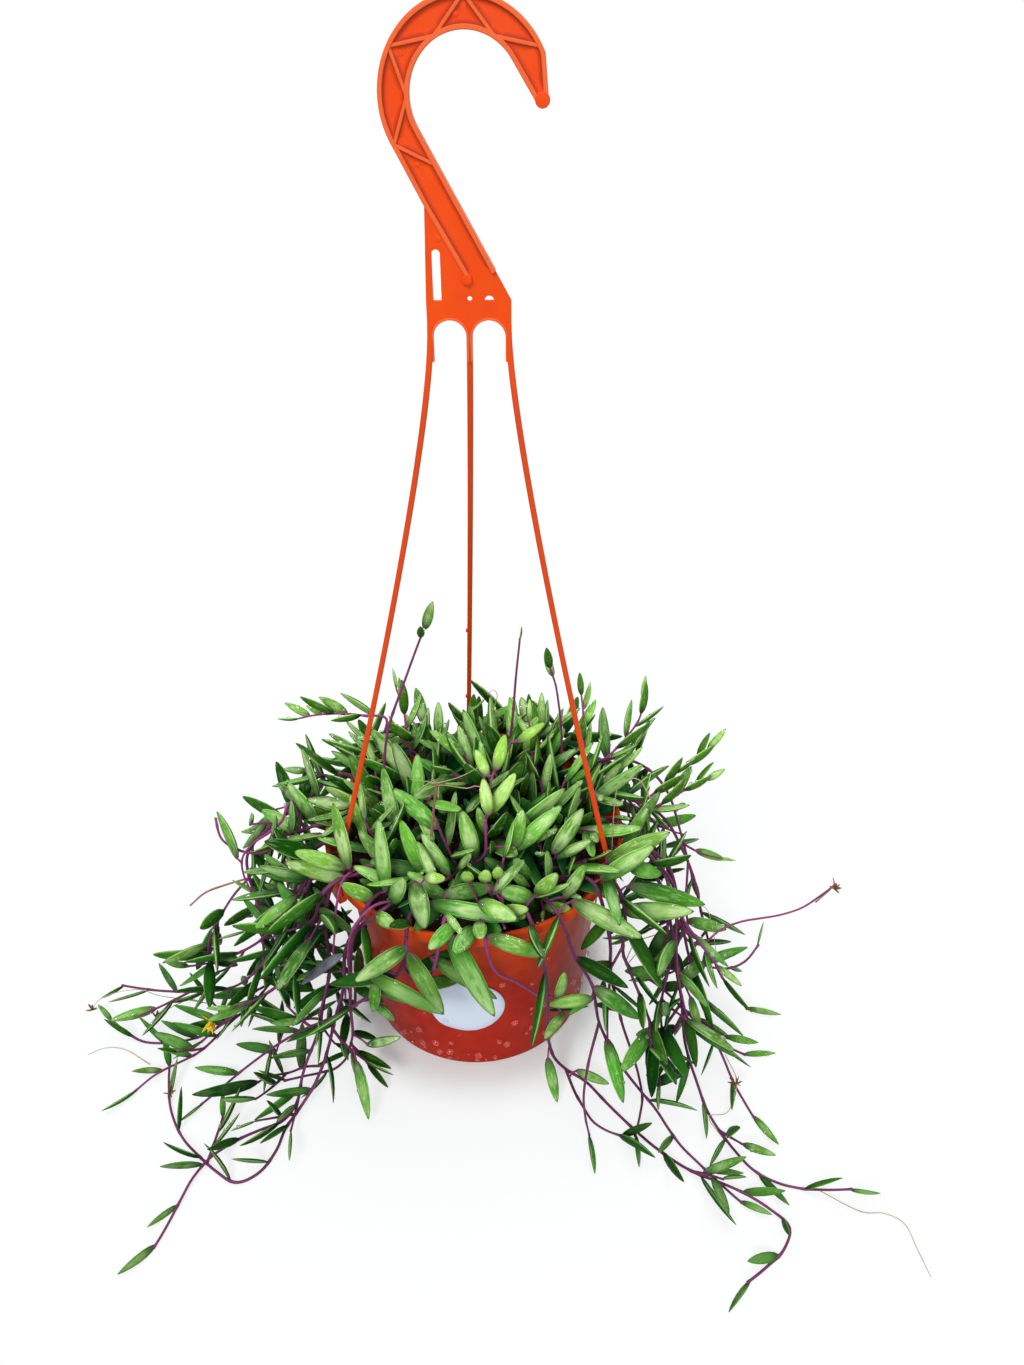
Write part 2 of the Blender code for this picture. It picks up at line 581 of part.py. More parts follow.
def leaf_solid(base, direction, length, width):
    """A three-sided pointed leaf, flat above and keeled below."""
    side = np.cross(direction, (0.0, 0.0, 1.0))
    side = side / np.linalg.norm(side) if np.linalg.norm(side) > 0.1 else np.array((1.0, 0.0, 0.0))
    upper = np.cross(side, direction)
    verts = [base - direction * JOINT / 3]
    for t, size in ((0.3, 0.95), (0.72, 0.85)):
        centre = base + direction * length * t
        verts += [centre + side * width / 2 * size + upper * width * 0.2 * size,
                  centre - side * width / 2 * size + upper * width * 0.2 * size,
                  centre - upper * width * 0.48 * size]
    verts.append(base + direction * length)
    faces = []
    for k in range(3):
        n = (k + 1) % 3
        faces += [(0, 1 + n, 1 + k), (1 + k, 1 + n, 4 + n, 4 + k), (4 + k, 4 + n, 7)]
    return verts, faces


def plant_object(name, stems, leaves, mat):
    """One rooted stem with its branches and leaves, joined in one solid."""
    solids = [tube(path, np.linspace(1.0, 0.65, len(path)) * radius, sides)
              for path, radius, sides in stems]
    obj = make_object(name, *solids[0], mat)
    extra = [make_object(name + "_part", *solid) for solid in solids[1:]]
    if leaves:
        extra.append(make_object(name + "_leaves", *merged([leaf_solid(*leaf) for leaf in leaves])))
    return combine(obj, extra)


def rooted(route):
    """Put the stretch from the soil to the rim in front of a route that starts above the rim."""
    azimuth = math.degrees(math.atan2(route[0][1], route[0][0]))
    return [polar(52.0, azimuth, ROOT_Z), polar(60.0, azimuth, 120.0), *route]


def short_route(azimuth, reach, end):
    """Over the rim and down in a loose curve."""
    return [polar(76.0, azimuth, 127.0), polar(92.0, azimuth + 3.0, 112.0),
            polar(reach - 6.0, azimuth + 4.0, 72.0), polar(reach, azimuth, max(end, 30.0)),
            polar(reach + 10.0, azimuth - 6.0, end)]


def first_outside(path):
    """Index of the first point beyond the rim's middle."""
    reach = np.hypot(path[:, 0], path[:, 1])
    return int(np.argmax(reach > RIM_RADIUS - RIM_WALL / 2))


def shoot_route(path, k, length):
    """A side shoot that leaves its stem at point k at an angle and then bends back along it."""
    tangent = path[k + 1] - path[max(k - 1, 0)]
    tangent /= np.linalg.norm(tangent)
    side = np.cross(tangent, (0.0, 0.0, 1.0))
    side /= np.linalg.norm(side) + 1e-9
    steps = ((0.0, 0.0, 0.0), (0.3, 0.3, 0.06), (0.62, 0.55, 0.02), (1.0, 0.6, -0.05))
    return [path[k] + (tangent * ahead + side * out + (0.0, 0.0, up)) * length
            for ahead, out, up in steps]


def hanger_balls(crowd):
    for start_x, azimuth in zip(arm_starts(), ARM_AZIMUTHS):
        path = fill(arm_path(start_x, azimuth), 2.0)
        crowd.add(path, ARM_DEPTH / 2 + 0.5, 0)
        for z in np.arange(CLIP_BOTTOM, CLIP_TOP + 1.0, 2.0):
            for w in np.linspace(-CLIP_WIDTH / 2, CLIP_WIDTH / 2, 5):
                spot = polar(RIM_RADIUS + 1.5, azimuth, z) + polar(w, azimuth + 90.0, 0.0)
                crowd.add(spot[None], 1.6, 0)


def plan_stems():
    """Every stem as (name, route, kind), in the order they are placed."""
    plan = [(name, route, "stalk") for name, route in STALKS.items()]
    plan += [(name, rooted(route), "vine") for name, route in VINES.items()]
    plan += [(f"vine_back_{k}", rooted(short_route(*landing)), "vine")
             for k, landing in enumerate(SHORT_VINES, 1)]
    for k in range(CROWN_STEMS):
        lean = math.sqrt((k + 0.5) / CROWN_STEMS)
        reach, azimuth = CROWN_RADIUS * lean, GOLDEN_ANGLE * k + 20.0
        route = [polar(reach * 0.86, azimuth, ROOT_Z), polar(reach * 0.95, azimuth, SOIL_TOP + 12.0),
                 polar(reach + 16.0 * lean, azimuth, SOIL_TOP + 36.0 - 9.0 * lean)]
        plan.append((f"crown_stem_{k + 1}", route, "crown"))
    return plan


def grow_stem(crowd, owner, route, kind):
    """The settled paths of a stem and its side shoot, as (path, radius, sides)."""
    path = resample(route, CROWN_STEP if kind == "crown" else STEM_STEP)
    reach = np.hypot(path[:, 0], path[:, 1])
    outside = first_outside(path) if reach.max() > RIM_RADIUS - 1.0 else len(path)
    path = settle(path, crowd, outside, STEM_RADIUS)
    crowd.add(fill(path), STEM_RADIUS, owner)
    parts = [(path, STEM_RADIUS, 4)]
    if kind == "vine" and len(path) * STEM_STEP > LONG_VINE:
        length = np.random.default_rng(owner).uniform(34.0, 52.0)
        middle = (len(path) - 1) // 2
        near = (crowd.owners == owner) & (np.linalg.norm(crowd.points - path[middle], axis=1) < STEM_STEP)
        shoot = resample(shoot_route(path, middle, length), STEM_STEP)
        shoot = settle(shoot, crowd, 0, SHOOT_RADIUS, skip=near)
        crowd.add(fill(shoot)[3:], SHOOT_RADIUS, owner)
        parts.append((shoot, SHOOT_RADIUS, 3))
    return parts


def grow_leaves(crowd, owner, name, parts, kind):
    rng = np.random.default_rng(1000 + owner)
    leaves = []
    for path, plan in zip((path for path, _, _ in parts), (kind if kind != "stalk" else name, "shoot")):
        if plan in LEAF_PLANS:
            first, count, spread, lengths, lean = LEAF_PLANS[plan]
            sites = np.linspace(first, 1.0, count)
            leaves += place_leaves(crowd, owner, path, sites, rng, spread, lengths, lean)
    return leaves


def build_plant(leaf, stalk):
    crowd = Crowd()
    hanger_balls(crowd)
    plan = plan_stems()
    grown = [grow_stem(crowd, owner, route, kind) for owner, (_, route, kind) in enumerate(plan, 1)]
    for owner, ((name, _, kind), parts) in enumerate(zip(plan, grown), 1):
        leaves = grow_leaves(crowd, owner, name, parts, kind)
        plant_object(name, parts, leaves, stalk if kind == "stalk" else leaf)


def main():
    clear_scene()
    build_pot(material("terracotta_red_plastic", (0.37, 0.045, 0.02), 0.42))
    build_hanger(material("orange_plastic", (0.86, 0.085, 0.008), 0.35))
    build_soil(material("potting_soil", (0.03, 0.018, 0.01), 0.95))
    build_label(material("white_paper_label", (0.8, 0.82, 0.88), 0.5))
    build_plant(material("succulent_leaf", (0.08, 0.2, 0.03), 0.4),
                material("purple_stalk", (0.12, 0.02, 0.05), 0.5))


main()
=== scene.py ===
"""Potted string of pickles in a moulded hanging pot: the looks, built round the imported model.

Lengths are in millimetres in this file and become metres when a mesh is made. The origin is the
middle of the pot's base, +Z is up, and the hook's plane is the XZ plane.
"""
import math

import bpy
import numpy as np
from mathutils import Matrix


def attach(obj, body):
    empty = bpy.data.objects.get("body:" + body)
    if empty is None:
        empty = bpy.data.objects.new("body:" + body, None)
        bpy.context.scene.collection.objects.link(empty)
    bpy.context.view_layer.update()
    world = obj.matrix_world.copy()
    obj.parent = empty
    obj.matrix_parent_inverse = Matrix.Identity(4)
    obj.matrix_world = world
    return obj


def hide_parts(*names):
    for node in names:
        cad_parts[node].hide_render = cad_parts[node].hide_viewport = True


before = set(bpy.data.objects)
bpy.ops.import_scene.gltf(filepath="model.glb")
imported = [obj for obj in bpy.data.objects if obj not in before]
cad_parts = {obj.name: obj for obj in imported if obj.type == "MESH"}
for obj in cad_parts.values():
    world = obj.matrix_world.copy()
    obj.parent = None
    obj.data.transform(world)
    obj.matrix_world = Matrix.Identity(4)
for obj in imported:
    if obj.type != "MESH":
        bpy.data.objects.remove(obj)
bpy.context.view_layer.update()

# ---------------------------------------------------------------- camera, light and floor
# A plain studio: a pale light table that keeps the pot's shadow, a key from the upper left front, a
# broad one overhead, a weak one low in front, and an even white surround.
MM = 0.001                             # metres
EYE = (17.5, -378.1, 469.2)
EYE_PITCH, EYE_YAW = 34.905, 0.27      # degrees down, and towards +X
EYE_LENS = 26.26
# Name, strength, and in degrees how wide it looks, its tilt from overhead and its heading.
LAMPS = (("key_light", 1.55, 18.0, 46.0, -26.0), ("top_light", 1.55, 60.0, 14.0, 170.0),
         ("fill_light", 0.95, 60.0, 72.0, 14.0))
SURROUND = 0.22                        # radiance of the surround as a light
FLOOR_HALF = 4500.0
WHITE = (1.0, 1.0, 1.0, 1.0)


def linear(code):
    """An sRGB hex colour as linear RGBA."""
    parts = [int(code[k:k + 2], 16) / 255 for k in (0, 2, 4)]
    return (*[p / 12.92 if p <= 0.04045 else ((p + 0.055) / 1.055) ** 2.4 for p in parts], 1.0)


def add_node(tree, kind, inputs=None, out=0, **settings):
    """Adds a shader node, makes its settings, sets or links its inputs and gives one output."""
    made = tree.nodes.new("ShaderNode" + kind)
    for name, value in settings.items():
        setattr(made, name, value)
    for name, value in (inputs or {}).items():
        if isinstance(value, bpy.types.NodeSocket):
            tree.links.new(value, made.inputs[name])
        else:
            made.inputs[name].default_value = value
    return made.outputs[out] if len(made.outputs) else None


def new_material(name):
    """An empty node material and its tree."""
    made = bpy.data.materials.new(name)
    made.use_nodes = True
    made.node_tree.nodes.clear()
    return made, made.node_tree


def seen_directly(tree):
    """1 for rays from the camera, or by way of a reflection or through glass."""
    rays = add_node(tree, "LightPath").node.outputs
    seen = rays["Is Camera Ray"]
    for other in ("Is Glossy Ray", "Is Transmission Ray"):
        seen = add_node(tree, "Math", {0: seen, 1: rays[other]}, operation="MAXIMUM")
    return seen


def in_scene(name, data):
    """A new object in the scene that holds the data."""
    made = bpy.data.objects.new(name, data)
    bpy.context.collection.objects.link(made)
    return made


camera = in_scene("camera", bpy.data.cameras.new("camera"))
camera.data.lens, camera.data.sensor_width, camera.data.clip_end = EYE_LENS, 36.0, 100.0
camera.location = [c * MM for c in EYE]
camera.rotation_euler = (math.radians(90.0 - EYE_PITCH), 0.0, math.radians(-EYE_YAW))
bpy.context.scene.camera = camera
bpy.context.scene.view_settings.view_transform = "Standard"

for name, strength, spread, tilt, heading in LAMPS:
    lamp = in_scene(name, bpy.data.lights.new(name, "SUN"))
    lamp.data.energy, lamp.data.angle = strength, math.radians(spread)
    lamp.rotation_euler = (math.radians(tilt), 0.0, math.radians(heading))

world = bpy.data.worlds.new("white_surround")
world.use_nodes = True
tree = world.node_tree
tree.nodes.clear()
level = add_node(tree, "MapRange", {"Value": seen_directly(tree), "To Min": SURROUND, "To Max": 1.0})
glow = add_node(tree, "Background", {"Color": WHITE, "Strength": level})
add_node(tree, "OutputWorld", {"Surface": glow})
bpy.context.scene.world = world


def studio_floor():
    """Matt white light table: away from the pot it glows, so that there the shadows stay faint; the
    glow sets in 6 to 9 cm from the middle. The light that it throws back up is that of a grey board,
    so undersides keep their depth."""
    made, tree = new_material("matt_white_light_table")
    seen = seen_directly(tree)
    tint = add_node(tree, "Mix", {0: seen, 6: linear("a6a6a6"), 7: linear("f4ffff")}, 2, data_type="RGBA")
    board = add_node(tree, "BsdfDiffuse", {"Color": tint})
    white = add_node(tree, "Emission", {"Color": WHITE, "Strength": 1.0})
    place = add_node(tree, "TexCoord", out="Object")
    reach = add_node(tree, "VectorMath", {0: place}, "Value", operation="LENGTH")
    glow = add_node(tree, "MapRange", {"Value": reach, "From Min": 0.061, "From Max": 0.09, "To Min": 0.0,
                                       "To Max": 0.75}, interpolation_type="SMOOTHSTEP")
    share = add_node(tree, "Math", {0: seen, 1: glow}, operation="MULTIPLY")
    both = add_node(tree, "MixShader", {0: share, 1: board, 2: white})
    add_node(tree, "OutputMaterial", {"Surface": both})
    return made


def new_piece(name, points, faces, materials, sharp=None):
    """A smooth mesh object at the origin from millimetre points, with an optional sharp edge angle."""
    mesh = bpy.data.meshes.new(name)
    mesh.from_pydata((np.asarray(points, float) * MM).tolist(), [], faces)
    mesh.shade_smooth()
    if sharp:
        mesh.set_sharp_from_angle(angle=math.radians(sharp))
    for made in materials:
        mesh.materials.append(made)
    return in_scene(name, mesh)


corners = [(x * FLOOR_HALF, y * FLOOR_HALF, 0) for x, y in ((-1, -1), (1, -1), (1, 1), (-1, 1))]
floor = new_piece("studio_floor", corners, [(0, 1, 2, 3)], [studio_floor()])

# ---------------------------------------------------------------- pot
# The real pot is one thin injection moulding of red polypropylene with a flared neck, a rolled rim
# and holes in its base. It is a turned surface here, and the holes are cut through its floor.
GAP = 0.3
BASE_RADIUS = 59.6
WALL_SLOPE = 0.063
WALL = 1.6
FLOOR = 2.2
POT_HEIGHT = 118.0
RIM_RADIUS = 76.0
RIM_WALL = 2.4
RIM_DEPTH = 6.0
ROLL = 0.9
FLARE = 102.0
CORNERS = (0.0, 1.6, 6.0, 1.2, 1.1, 1.1, 2.5, 5.0, 3.0, 0.0)     # roundings along the outline
DRAIN_HOLES, DRAIN_RADIUS, DRAIN_RING = 6, 2.0, 46.0


def wall_radius(z):
    return BASE_RADIUS + WALL_SLOPE * z


def outer_radius(z):
    """The pot's outside, from the wall through the flare to the rim."""
    return np.interp(z, (0.0, FLARE, POT_HEIGHT - RIM_DEPTH),
                     (BASE_RADIUS, wall_radius(FLARE), RIM_RADIUS))


def around(radius, angle, z):
    """Points at a radius, an angle in radians and a height, each a number or an array."""
    return np.stack(np.broadcast_arrays(radius * np.cos(angle), radius * np.sin(angle), z), axis=-1)


def polar(radius, azimuth, z):
    """One such point, with its angle in degrees."""
    return around(radius, math.radians(azimuth), z)


def circle(count):
    """Angles evenly round a circle."""
    return 2 * np.pi * np.arange(count) / count


def rounded(outline, radius, steps=4, closed=True):
    """The outline with each corner replaced by a short curve: a parabola from the point one radius
    before the corner (or nearly half-way, if that is nearer) to the point one radius after it."""
    outline = np.array(outline, float)
    reach = np.broadcast_to(radius, len(outline))[:, None]
    ends = []
    for way in (1, -1):
        away = np.roll(outline, way, axis=0) - outline
        length = np.linalg.norm(away, axis=1)[:, None]
        ends.append((outline + away / length * np.minimum(reach, length * 0.48))[:, None])
    t = np.linspace(0.0, 1.0, steps + 1)[None, :, None]
    curves = (1 - t) ** 2 * ends[0] + 2 * t * (1 - t) * outline[:, None] + t ** 2 * ends[1]
    if not closed:
        curves[0], curves[-1] = outline[0], outline[-1]
    return curves.reshape(-1, outline.shape[1])


def wrapped_faces(rows, columns):
    """Quads of a grid that closes round its columns."""
    row, column = np.meshgrid(np.arange(rows - 1) * columns, np.arange(columns), indexing="ij")
    across = (column + 1) % columns
    quads = [row + column, row + across, row + columns + across, row + columns + column]
    return np.stack(quads, axis=-1).reshape(-1, 4).tolist()


def poled_faces(rows, columns):
    """Faces of a closed skin whose points are a first pole, rows of columns, and a last pole."""
    column = np.arange(columns)
    across = (column + 1) % columns
    last = rows * columns + 1
    first_fan = np.stack([np.zeros(columns, int), across + 1, column + 1], axis=1)
    last_fan = np.stack([np.full(columns, last), last - columns + column, last - columns + across], axis=1)
    quads = np.array(wrapped_faces(rows, columns)) + 1
    return first_fan.tolist() + quads.tolist() + last_fan.tolist()


def turned(profile, segments):
    """Turns a (radius, z) outline that starts and ends on the axis round it: each point becomes a
    circle of radius times cosine, radius times sine, at its z."""
    radius, z = np.array(profile[1:-1]).T
    points = around(radius[:, None], circle(segments), z[:, None]).reshape(-1, 3)
    return (np.vstack([(0.0, 0.0, profile[0][1]), points, (0.0, 0.0, profile[-1][1])]),
            poled_faces(len(z), segments))


def cut(piece, cutters):
    """Takes the cutters out of the piece and removes them."""
    for cutter in cutters:
        step = piece.modifiers.new("cut", "BOOLEAN")
        step.operation, step.solver, step.object = "DIFFERENCE", "EXACT", cutter
    shape = bpy.data.meshes.new_from_object(piece.evaluated_get(bpy.context.evaluated_depsgraph_get()))
    piece.modifiers.clear()
    piece.data = shape
    for cutter in cutters:
        bpy.data.objects.remove(cutter, do_unlink=True)


def red_polypropylene():
    """Injection-moulded polypropylene, satin, with painted light and shade: redder and duller low down, and
    orange towards the rim where light passes through it. It has faint flow mottling 12 mm wide and a fine
    mould grain of 0.35 mm."""
    made, tree = new_material("satin_red_polypropylene")
    place = add_node(tree, "TexCoord", out="Object")
    height = add_node(tree, "SeparateXYZ", {0: place}, "Z")
    lift = add_node(tree, "MapRange", {"Value": height, "From Min": 0.05, "From Max": 0.113},
                    interpolation_type="SMOOTHSTEP")
    mottle = add_node(tree, "TexNoise", {"Vector": place, "Scale": 1 / 0.012, "Detail": 3.0})
    patch = add_node(tree, "MapRange", {"Value": mottle, "From Min": 0.35, "From Max": 0.75,
                                        "To Min": 0.0, "To Max": 0.45})
    colour = linear("bd2710")
    # Painted light and shade: the colour runs from a duller red low down to orange towards the rim.
    for share, over in ((lift, "ea561f"), (patch, "8e1c0c")):
        colour = add_node(tree, "Mix", {0: share, 6: colour, 7: linear(over)}, 2, data_type="RGBA")
    rough = add_node(tree, "MapRange", {"Value": mottle, "To Min": 0.28, "To Max": 0.46})
    grain = add_node(tree, "TexNoise", {"Vector": place, "Scale": 1 / 0.00035, "Detail": 2.0})
    bump = add_node(tree, "Bump", {"Height": grain, "Strength": 0.12, "Distance": 0.0001})
    skin = add_node(tree, "BsdfPrincipled", {"Base Color": colour, "Roughness": rough, "Normal": bump,
                                             "IOR": 1.49, "Specular IOR Level": 0.05})
    add_node(tree, "OutputMaterial", {"Surface": skin})
    return made


lip_under = POT_HEIGHT - RIM_DEPTH
neck = wall_radius(FLARE)
inner_lip = RIM_RADIUS - RIM_WALL
outline = [(0.0, 0.0), (BASE_RADIUS, 0.0), (neck, FLARE), (RIM_RADIUS, lip_under), (RIM_RADIUS, POT_HEIGHT),
           (inner_lip, POT_HEIGHT), (inner_lip - ROLL / 2, lip_under + WALL), (neck - WALL, FLARE + ROLL),
           (BASE_RADIUS - WALL, FLOOR), (0.0, FLOOR)]
pot = new_piece("pot_shell", *turned(rounded(outline, CORNERS, closed=False), 144), [red_polypropylene()], 50)
holes = []
for k in range(DRAIN_HOLES):
    points, faces = turned([(0.0, -3.0), (DRAIN_RADIUS, -3.0), (DRAIN_RADIUS, 6.0), (0.0, 6.0)], 20)
    spot = polar(DRAIN_RING, 360.0 * (k + 0.5) / DRAIN_HOLES, 0.0)
    holes.append(new_piece("hole", points + spot, faces, []))
cut(pot, holes)
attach(pot, "root")
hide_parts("pot")

# ---------------------------------------------------------------- label
# A round self-adhesive paper label, bent round the wall. It carries nothing: a blank satin white
# face, a die-cut edge, and one place low down where the paper has lifted a little from damp.
LABEL_RADIUS = 20.0
LABEL_HEIGHT = 52.0
LABEL_AZIMUTH = -94.0
LABEL_LIFT, LABEL_THICKNESS = GAP + 0.15, 0.4
EDGE_SOFTENED = 0.06
DAMP_ANGLE, DAMP_WIDTH, DAMP_LIFT = 4.0, 0.28, 0.9       # radians round the label, and millimetres


def satin_paper():
    """Coated label paper: a cool white that goes a trace greyer at its damp edge, with a fibre
    pattern 0.8 mm wide that only breaks up the gloss."""
    made, tree = new_material("satin_coated_paper")
    place = add_node(tree, "TexCoord", out="Object")
    damp = add_node(tree, "Attribute", out="Fac", attribute_name="edge")
    fibre = add_node(tree, "TexNoise", {"Vector": place, "Scale": 1 / 0.0008, "Detail": 4.0})
    cloud = add_node(tree, "TexNoise", {"Vector": place, "Scale": 1 / 0.009, "Detail": 2.0})
    share = add_node(tree, "Math", {0: damp, 1: cloud}, operation="MULTIPLY")
    colour = add_node(tree, "Mix", {0: share, 6: linear("e0edff"), 7: linear("a9b6d2")}, 2, data_type="RGBA")
    rough = add_node(tree, "MapRange", {"Value": fibre, "To Min": 0.38, "To Max": 0.6})
    bump = add_node(tree, "Bump", {"Height": fibre, "Strength": 0.15, "Distance": 0.0001})
    skin = add_node(tree, "BsdfPrincipled", {"Base Color": colour, "Roughness": rough, "Normal": bump,
                                             "IOR": 1.5})
    add_node(tree, "OutputMaterial", {"Surface": skin})
    return made


def set_attribute(piece, name, values):
    """A number for each point of the piece, for its material to read."""
    layer = piece.data.attributes.new(name, "FLOAT", "POINT")
    layer.data.foreach_set("value", np.ascontiguousarray(values, np.float32))


def bent_disc(steps=14, spokes=96):
    """A disc in rings from the middle of its face, over its edge, to the middle of its back. Across
    and up on the disc become the angle and the height on the wall; a low bulge lifts one edge."""
    out = np.concatenate([np.arange(steps + 1) / steps, [1.0, 0.0]])[:, None]
    lift = np.repeat((LABEL_LIFT + LABEL_THICKNESS, LABEL_LIFT), (steps + 1, 2))[:, None]
    lift[steps] -= EDGE_SOFTENED
    angle = circle(spokes)
    across = LABEL_RADIUS * out * np.cos(angle)
    height = LABEL_HEIGHT + LABEL_RADIUS * out * np.sin(angle)
    bulge = DAMP_LIFT * np.exp(-((angle - DAMP_ANGLE) / DAMP_WIDTH) ** 2) * np.clip(out * 5 - 4, 0, 1) ** 2
    radius = wall_radius(height) + lift + bulge
    points = around(radius, math.radians(LABEL_AZIMUTH) + across / radius, height)
    edge = np.broadcast_to(np.clip(out * 6 - 5, 0, 1), across.shape)
    points, worn = (np.concatenate([rows[0, :1], rows[1:-1].reshape(-1, *rows.shape[2:]), rows[-1, :1]])
                    for rows in (points, edge))
    return points, [face[::-1] for face in poled_faces(len(out) - 2, spokes)], worn


points, faces, worn = bent_disc()
label = new_piece("blank_label", points, faces, [satin_paper()], 40)
set_attribute(label, "edge", worn)
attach(label, "root")
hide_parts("label")

# ---------------------------------------------------------------- potting mix
# Damp peat and bark with white perlite. It is a turned fill whose top is uneven, seen only in the
# dark gaps between the stems.
SOIL_TOP = 103.0


def damp_peat():
    """Peat is nearly black where it is wet; crumbs are 2.5 mm, and perlite grains 1.5 mm are white."""
    made, tree = new_material("damp_peat_with_perlite")
    place = add_node(tree, "TexCoord", out="Object")
    crumb, grains = (add_node(tree, "TexVoronoi", {"Vector": place, "Scale": 1 / size}, "Distance")
                     for size in (0.0025, 0.0045))
    white = add_node(tree, "Math", {0: grains, 1: 0.17}, operation="LESS_THAN")
    colour = linear("1c120a")
    for share, over in ((crumb, "3d2a1a"), (white, "cfc9bb")):
        colour = add_node(tree, "Mix", {0: share, 6: colour, 7: linear(over)}, 2, data_type="RGBA")
    bump = add_node(tree, "Bump", {"Height": crumb, "Strength": 0.8, "Distance": 0.0008})
    skin = add_node(tree, "BsdfPrincipled", {"Base Color": colour, "Roughness": 0.85, "Normal": bump,
                                             "IOR": 1.45})
    add_node(tree, "OutputMaterial", {"Surface": skin})
    return made


def crumbly_fill(rings=30, segments=120):
    """The fill's side is the pot's inside less a gap; its top is a disc of rings whose heights are
    random numbers averaged with their neighbours."""
    rng = np.random.default_rng(7)
    low, high = FLOOR + GAP, SOIL_TOP - 2.0
    foot, side = (wall_radius(z) - WALL - 2 * GAP for z in (0.0, high))
    rough = rng.uniform(-1.0, 1.0, (rings, segments))
    for _ in range(3):
        rough = (rough + np.roll(rough, 1, 1) + np.roll(rough, -1, 1) + np.roll(rough, 1, 0)) / 4 * 1.25
    radius = np.concatenate([[foot, side], np.linspace(side - 2.0, 1.5, rings)])
    height = np.vstack([np.full((1, segments), low), np.full((1, segments), high),
                        SOIL_TOP - 1.0 + np.clip(rough, -1.0, 1.0) * 0.9])
    points = around(radius[:, None], circle(segments), height).reshape(-1, 3)
    points = np.vstack([(0.0, 0.0, low), points, (0.0, 0.0, SOIL_TOP - 1.0)])
    return points, poled_faces(len(radius), segments)


soil = new_piece("potting_mix", *crumbly_fill(), [damp_peat()])
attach(soil, "root")
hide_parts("soil")

# ---------------------------------------------------------------- hanger
# One orange polypropylene moulding: a flat web with raised edges and a zigzag rib, two arches, and
# three arms whose clips grip the rim. The web is a flat outline with a soft edge; everything raised
# is a small section carried along a line.
HOOK = (4.0, 440.0)
HOOK_OUTER, HOOK_INNER = 28.8, 18.4
HOOK_MOUTH, INNER_MOUTH, SHANK_ANGLE = 25.0, 38.0, 210.0
TIP, TIP_RADIUS = (29.3, 439.1), 2.5
TIP_OUTER_EDGE, TIP_INNER_EDGE = (31.2, 441.0), (27.4, 438.0)
PLATE_LEFT, PLATE_RIGHT = -12.1, 19.1
SHOULDER = (-11.2, 407.4)
PLATE_CORNERS = (376.0, 375.7)
SLOT = (-7.9, 375.6, 391.6, 1.5)       # its middle line, lower and upper end, and half its width
PIN_HOLE, HALF_HOLE, BOSS = (3.9, 376.3, 0.9), (11.0, 375.7, 1.7), (3.1, 383.2, 1.9)
EJECTOR_MARKS = ((-6.8, 396.7, 1.3), (-12.8, 420.0, 0.9), (1.5, 462.5, 1.0), (-16.5, 452.0, 1.0))
INNER_FLANGE_FOOT, ZIGZAG_FOOT, ZIGZAG_STEP = (13.5, 386.0), (-6.6, 420.0), 30
ARCH_Z, ARCH_FOOT = 362.6, (0.0, 9.0)
ARCH_EDGE, ARCH_DEPTH = 0.9, 2.7
ARM_GAP_WIDTH, ARM_WIDTH, ARM_DEPTH = 2.2, 2.4, 2.6
WEB, EDGE_ROUND = 1.8, 0.22
FLANGE_WIDTH, FLANGE_DEPTH, RIB_WIDTH, RIB_DEPTH, ROOT_WIDTH = 1.6, 4.4, 1.2, 3.6, 1.6
BAR_STEP, EDGE_SOFT = 0.8, 0.25
ARM_STARTS = (PLATE_LEFT + ARM_GAP_WIDTH / 2, (PLATE_LEFT + PLATE_RIGHT) / 2,
              PLATE_RIGHT - ARM_GAP_WIDTH / 2)
ARM_AZIMUTHS = (212.0, 94.0, -30.0)
ARM_DROP, ARM_SPREAD, ARM_RISE = 40.0, 0.26, 50.0
CLIP_INNER = RIM_RADIUS + GAP + 0.2
CLIP_WIDTH, CLIP_THICK, CLIP_TOP, CLIP_BOTTOM = 9.0, 2.0, 119.5, 107.0
TOE_TOP, TOE_INNER = 110.6, 74.3
NUB_HEIGHTS, NUB_RADIUS, NUB_DEPTH, NUB_OUT = (206.0, 153.0), 0.8, 2.0, (1.2, 0.0, 0.0)


def orange_polypropylene():
    """Glossier polypropylene, vivid orange: a faint cloudiness 9 mm wide from the melt's flow, painted
    shade that makes the arms darker and redder, a painted highlight on the raised edges, painted shade
    in the corners beside the ribs, and very fine drag marks along the shank that only break up the shine."""
    made, tree = new_material("semi_gloss_orange_polypropylene")
    place = add_node(tree, "TexCoord", out="Object")
    cloud = add_node(tree, "TexNoise", {"Vector": place, "Scale": 1 / 0.009, "Detail": 3.0})
    height = add_node(tree, "SeparateXYZ", {0: place}, "Z")
    lower = add_node(tree, "MapRange", {"Value": height, "From Min": 0.366, "From Max": 0.33})
    raised, corner = (add_node(tree, "MapRange", {
        "Value": add_node(tree, "Attribute", out="Fac", attribute_name=name), "To Max": most})
        for name, most in (("raised", 0.45), ("corner", 0.85)))
    colour = linear("f74602")
    # Painted shade darkens the arms and the corners beside the ribs; a painted highlight pales the raised
    # edges.
    for share, over in ((cloud, "ff5a0c"), (lower, "dd480f"), (raised, "ff8a52"), (corner, "a82800")):
        colour = add_node(tree, "Mix", {0: share, 6: colour, 7: linear(over)}, 2, data_type="RGBA")
    stretched = add_node(tree, "Mapping", {"Vector": place, "Scale": (1.0, 1.0, 0.12)})
    drag = add_node(tree, "TexNoise", {"Vector": stretched, "Scale": 1 / 0.0006, "Detail": 2.0})
    rough = add_node(tree, "MapRange", {"Value": drag, "To Min": 0.24, "To Max": 0.42})
    bump = add_node(tree, "Bump", {"Height": drag, "Strength": 0.08, "Distance": 0.0001})
    skin = add_node(tree, "BsdfPrincipled", {"Base Color": colour, "Roughness": rough, "Normal": bump,
                                             "IOR": 1.49, "Specular IOR Level": 0.2})
    add_node(tree, "OutputMaterial", {"Surface": skin})
    return made


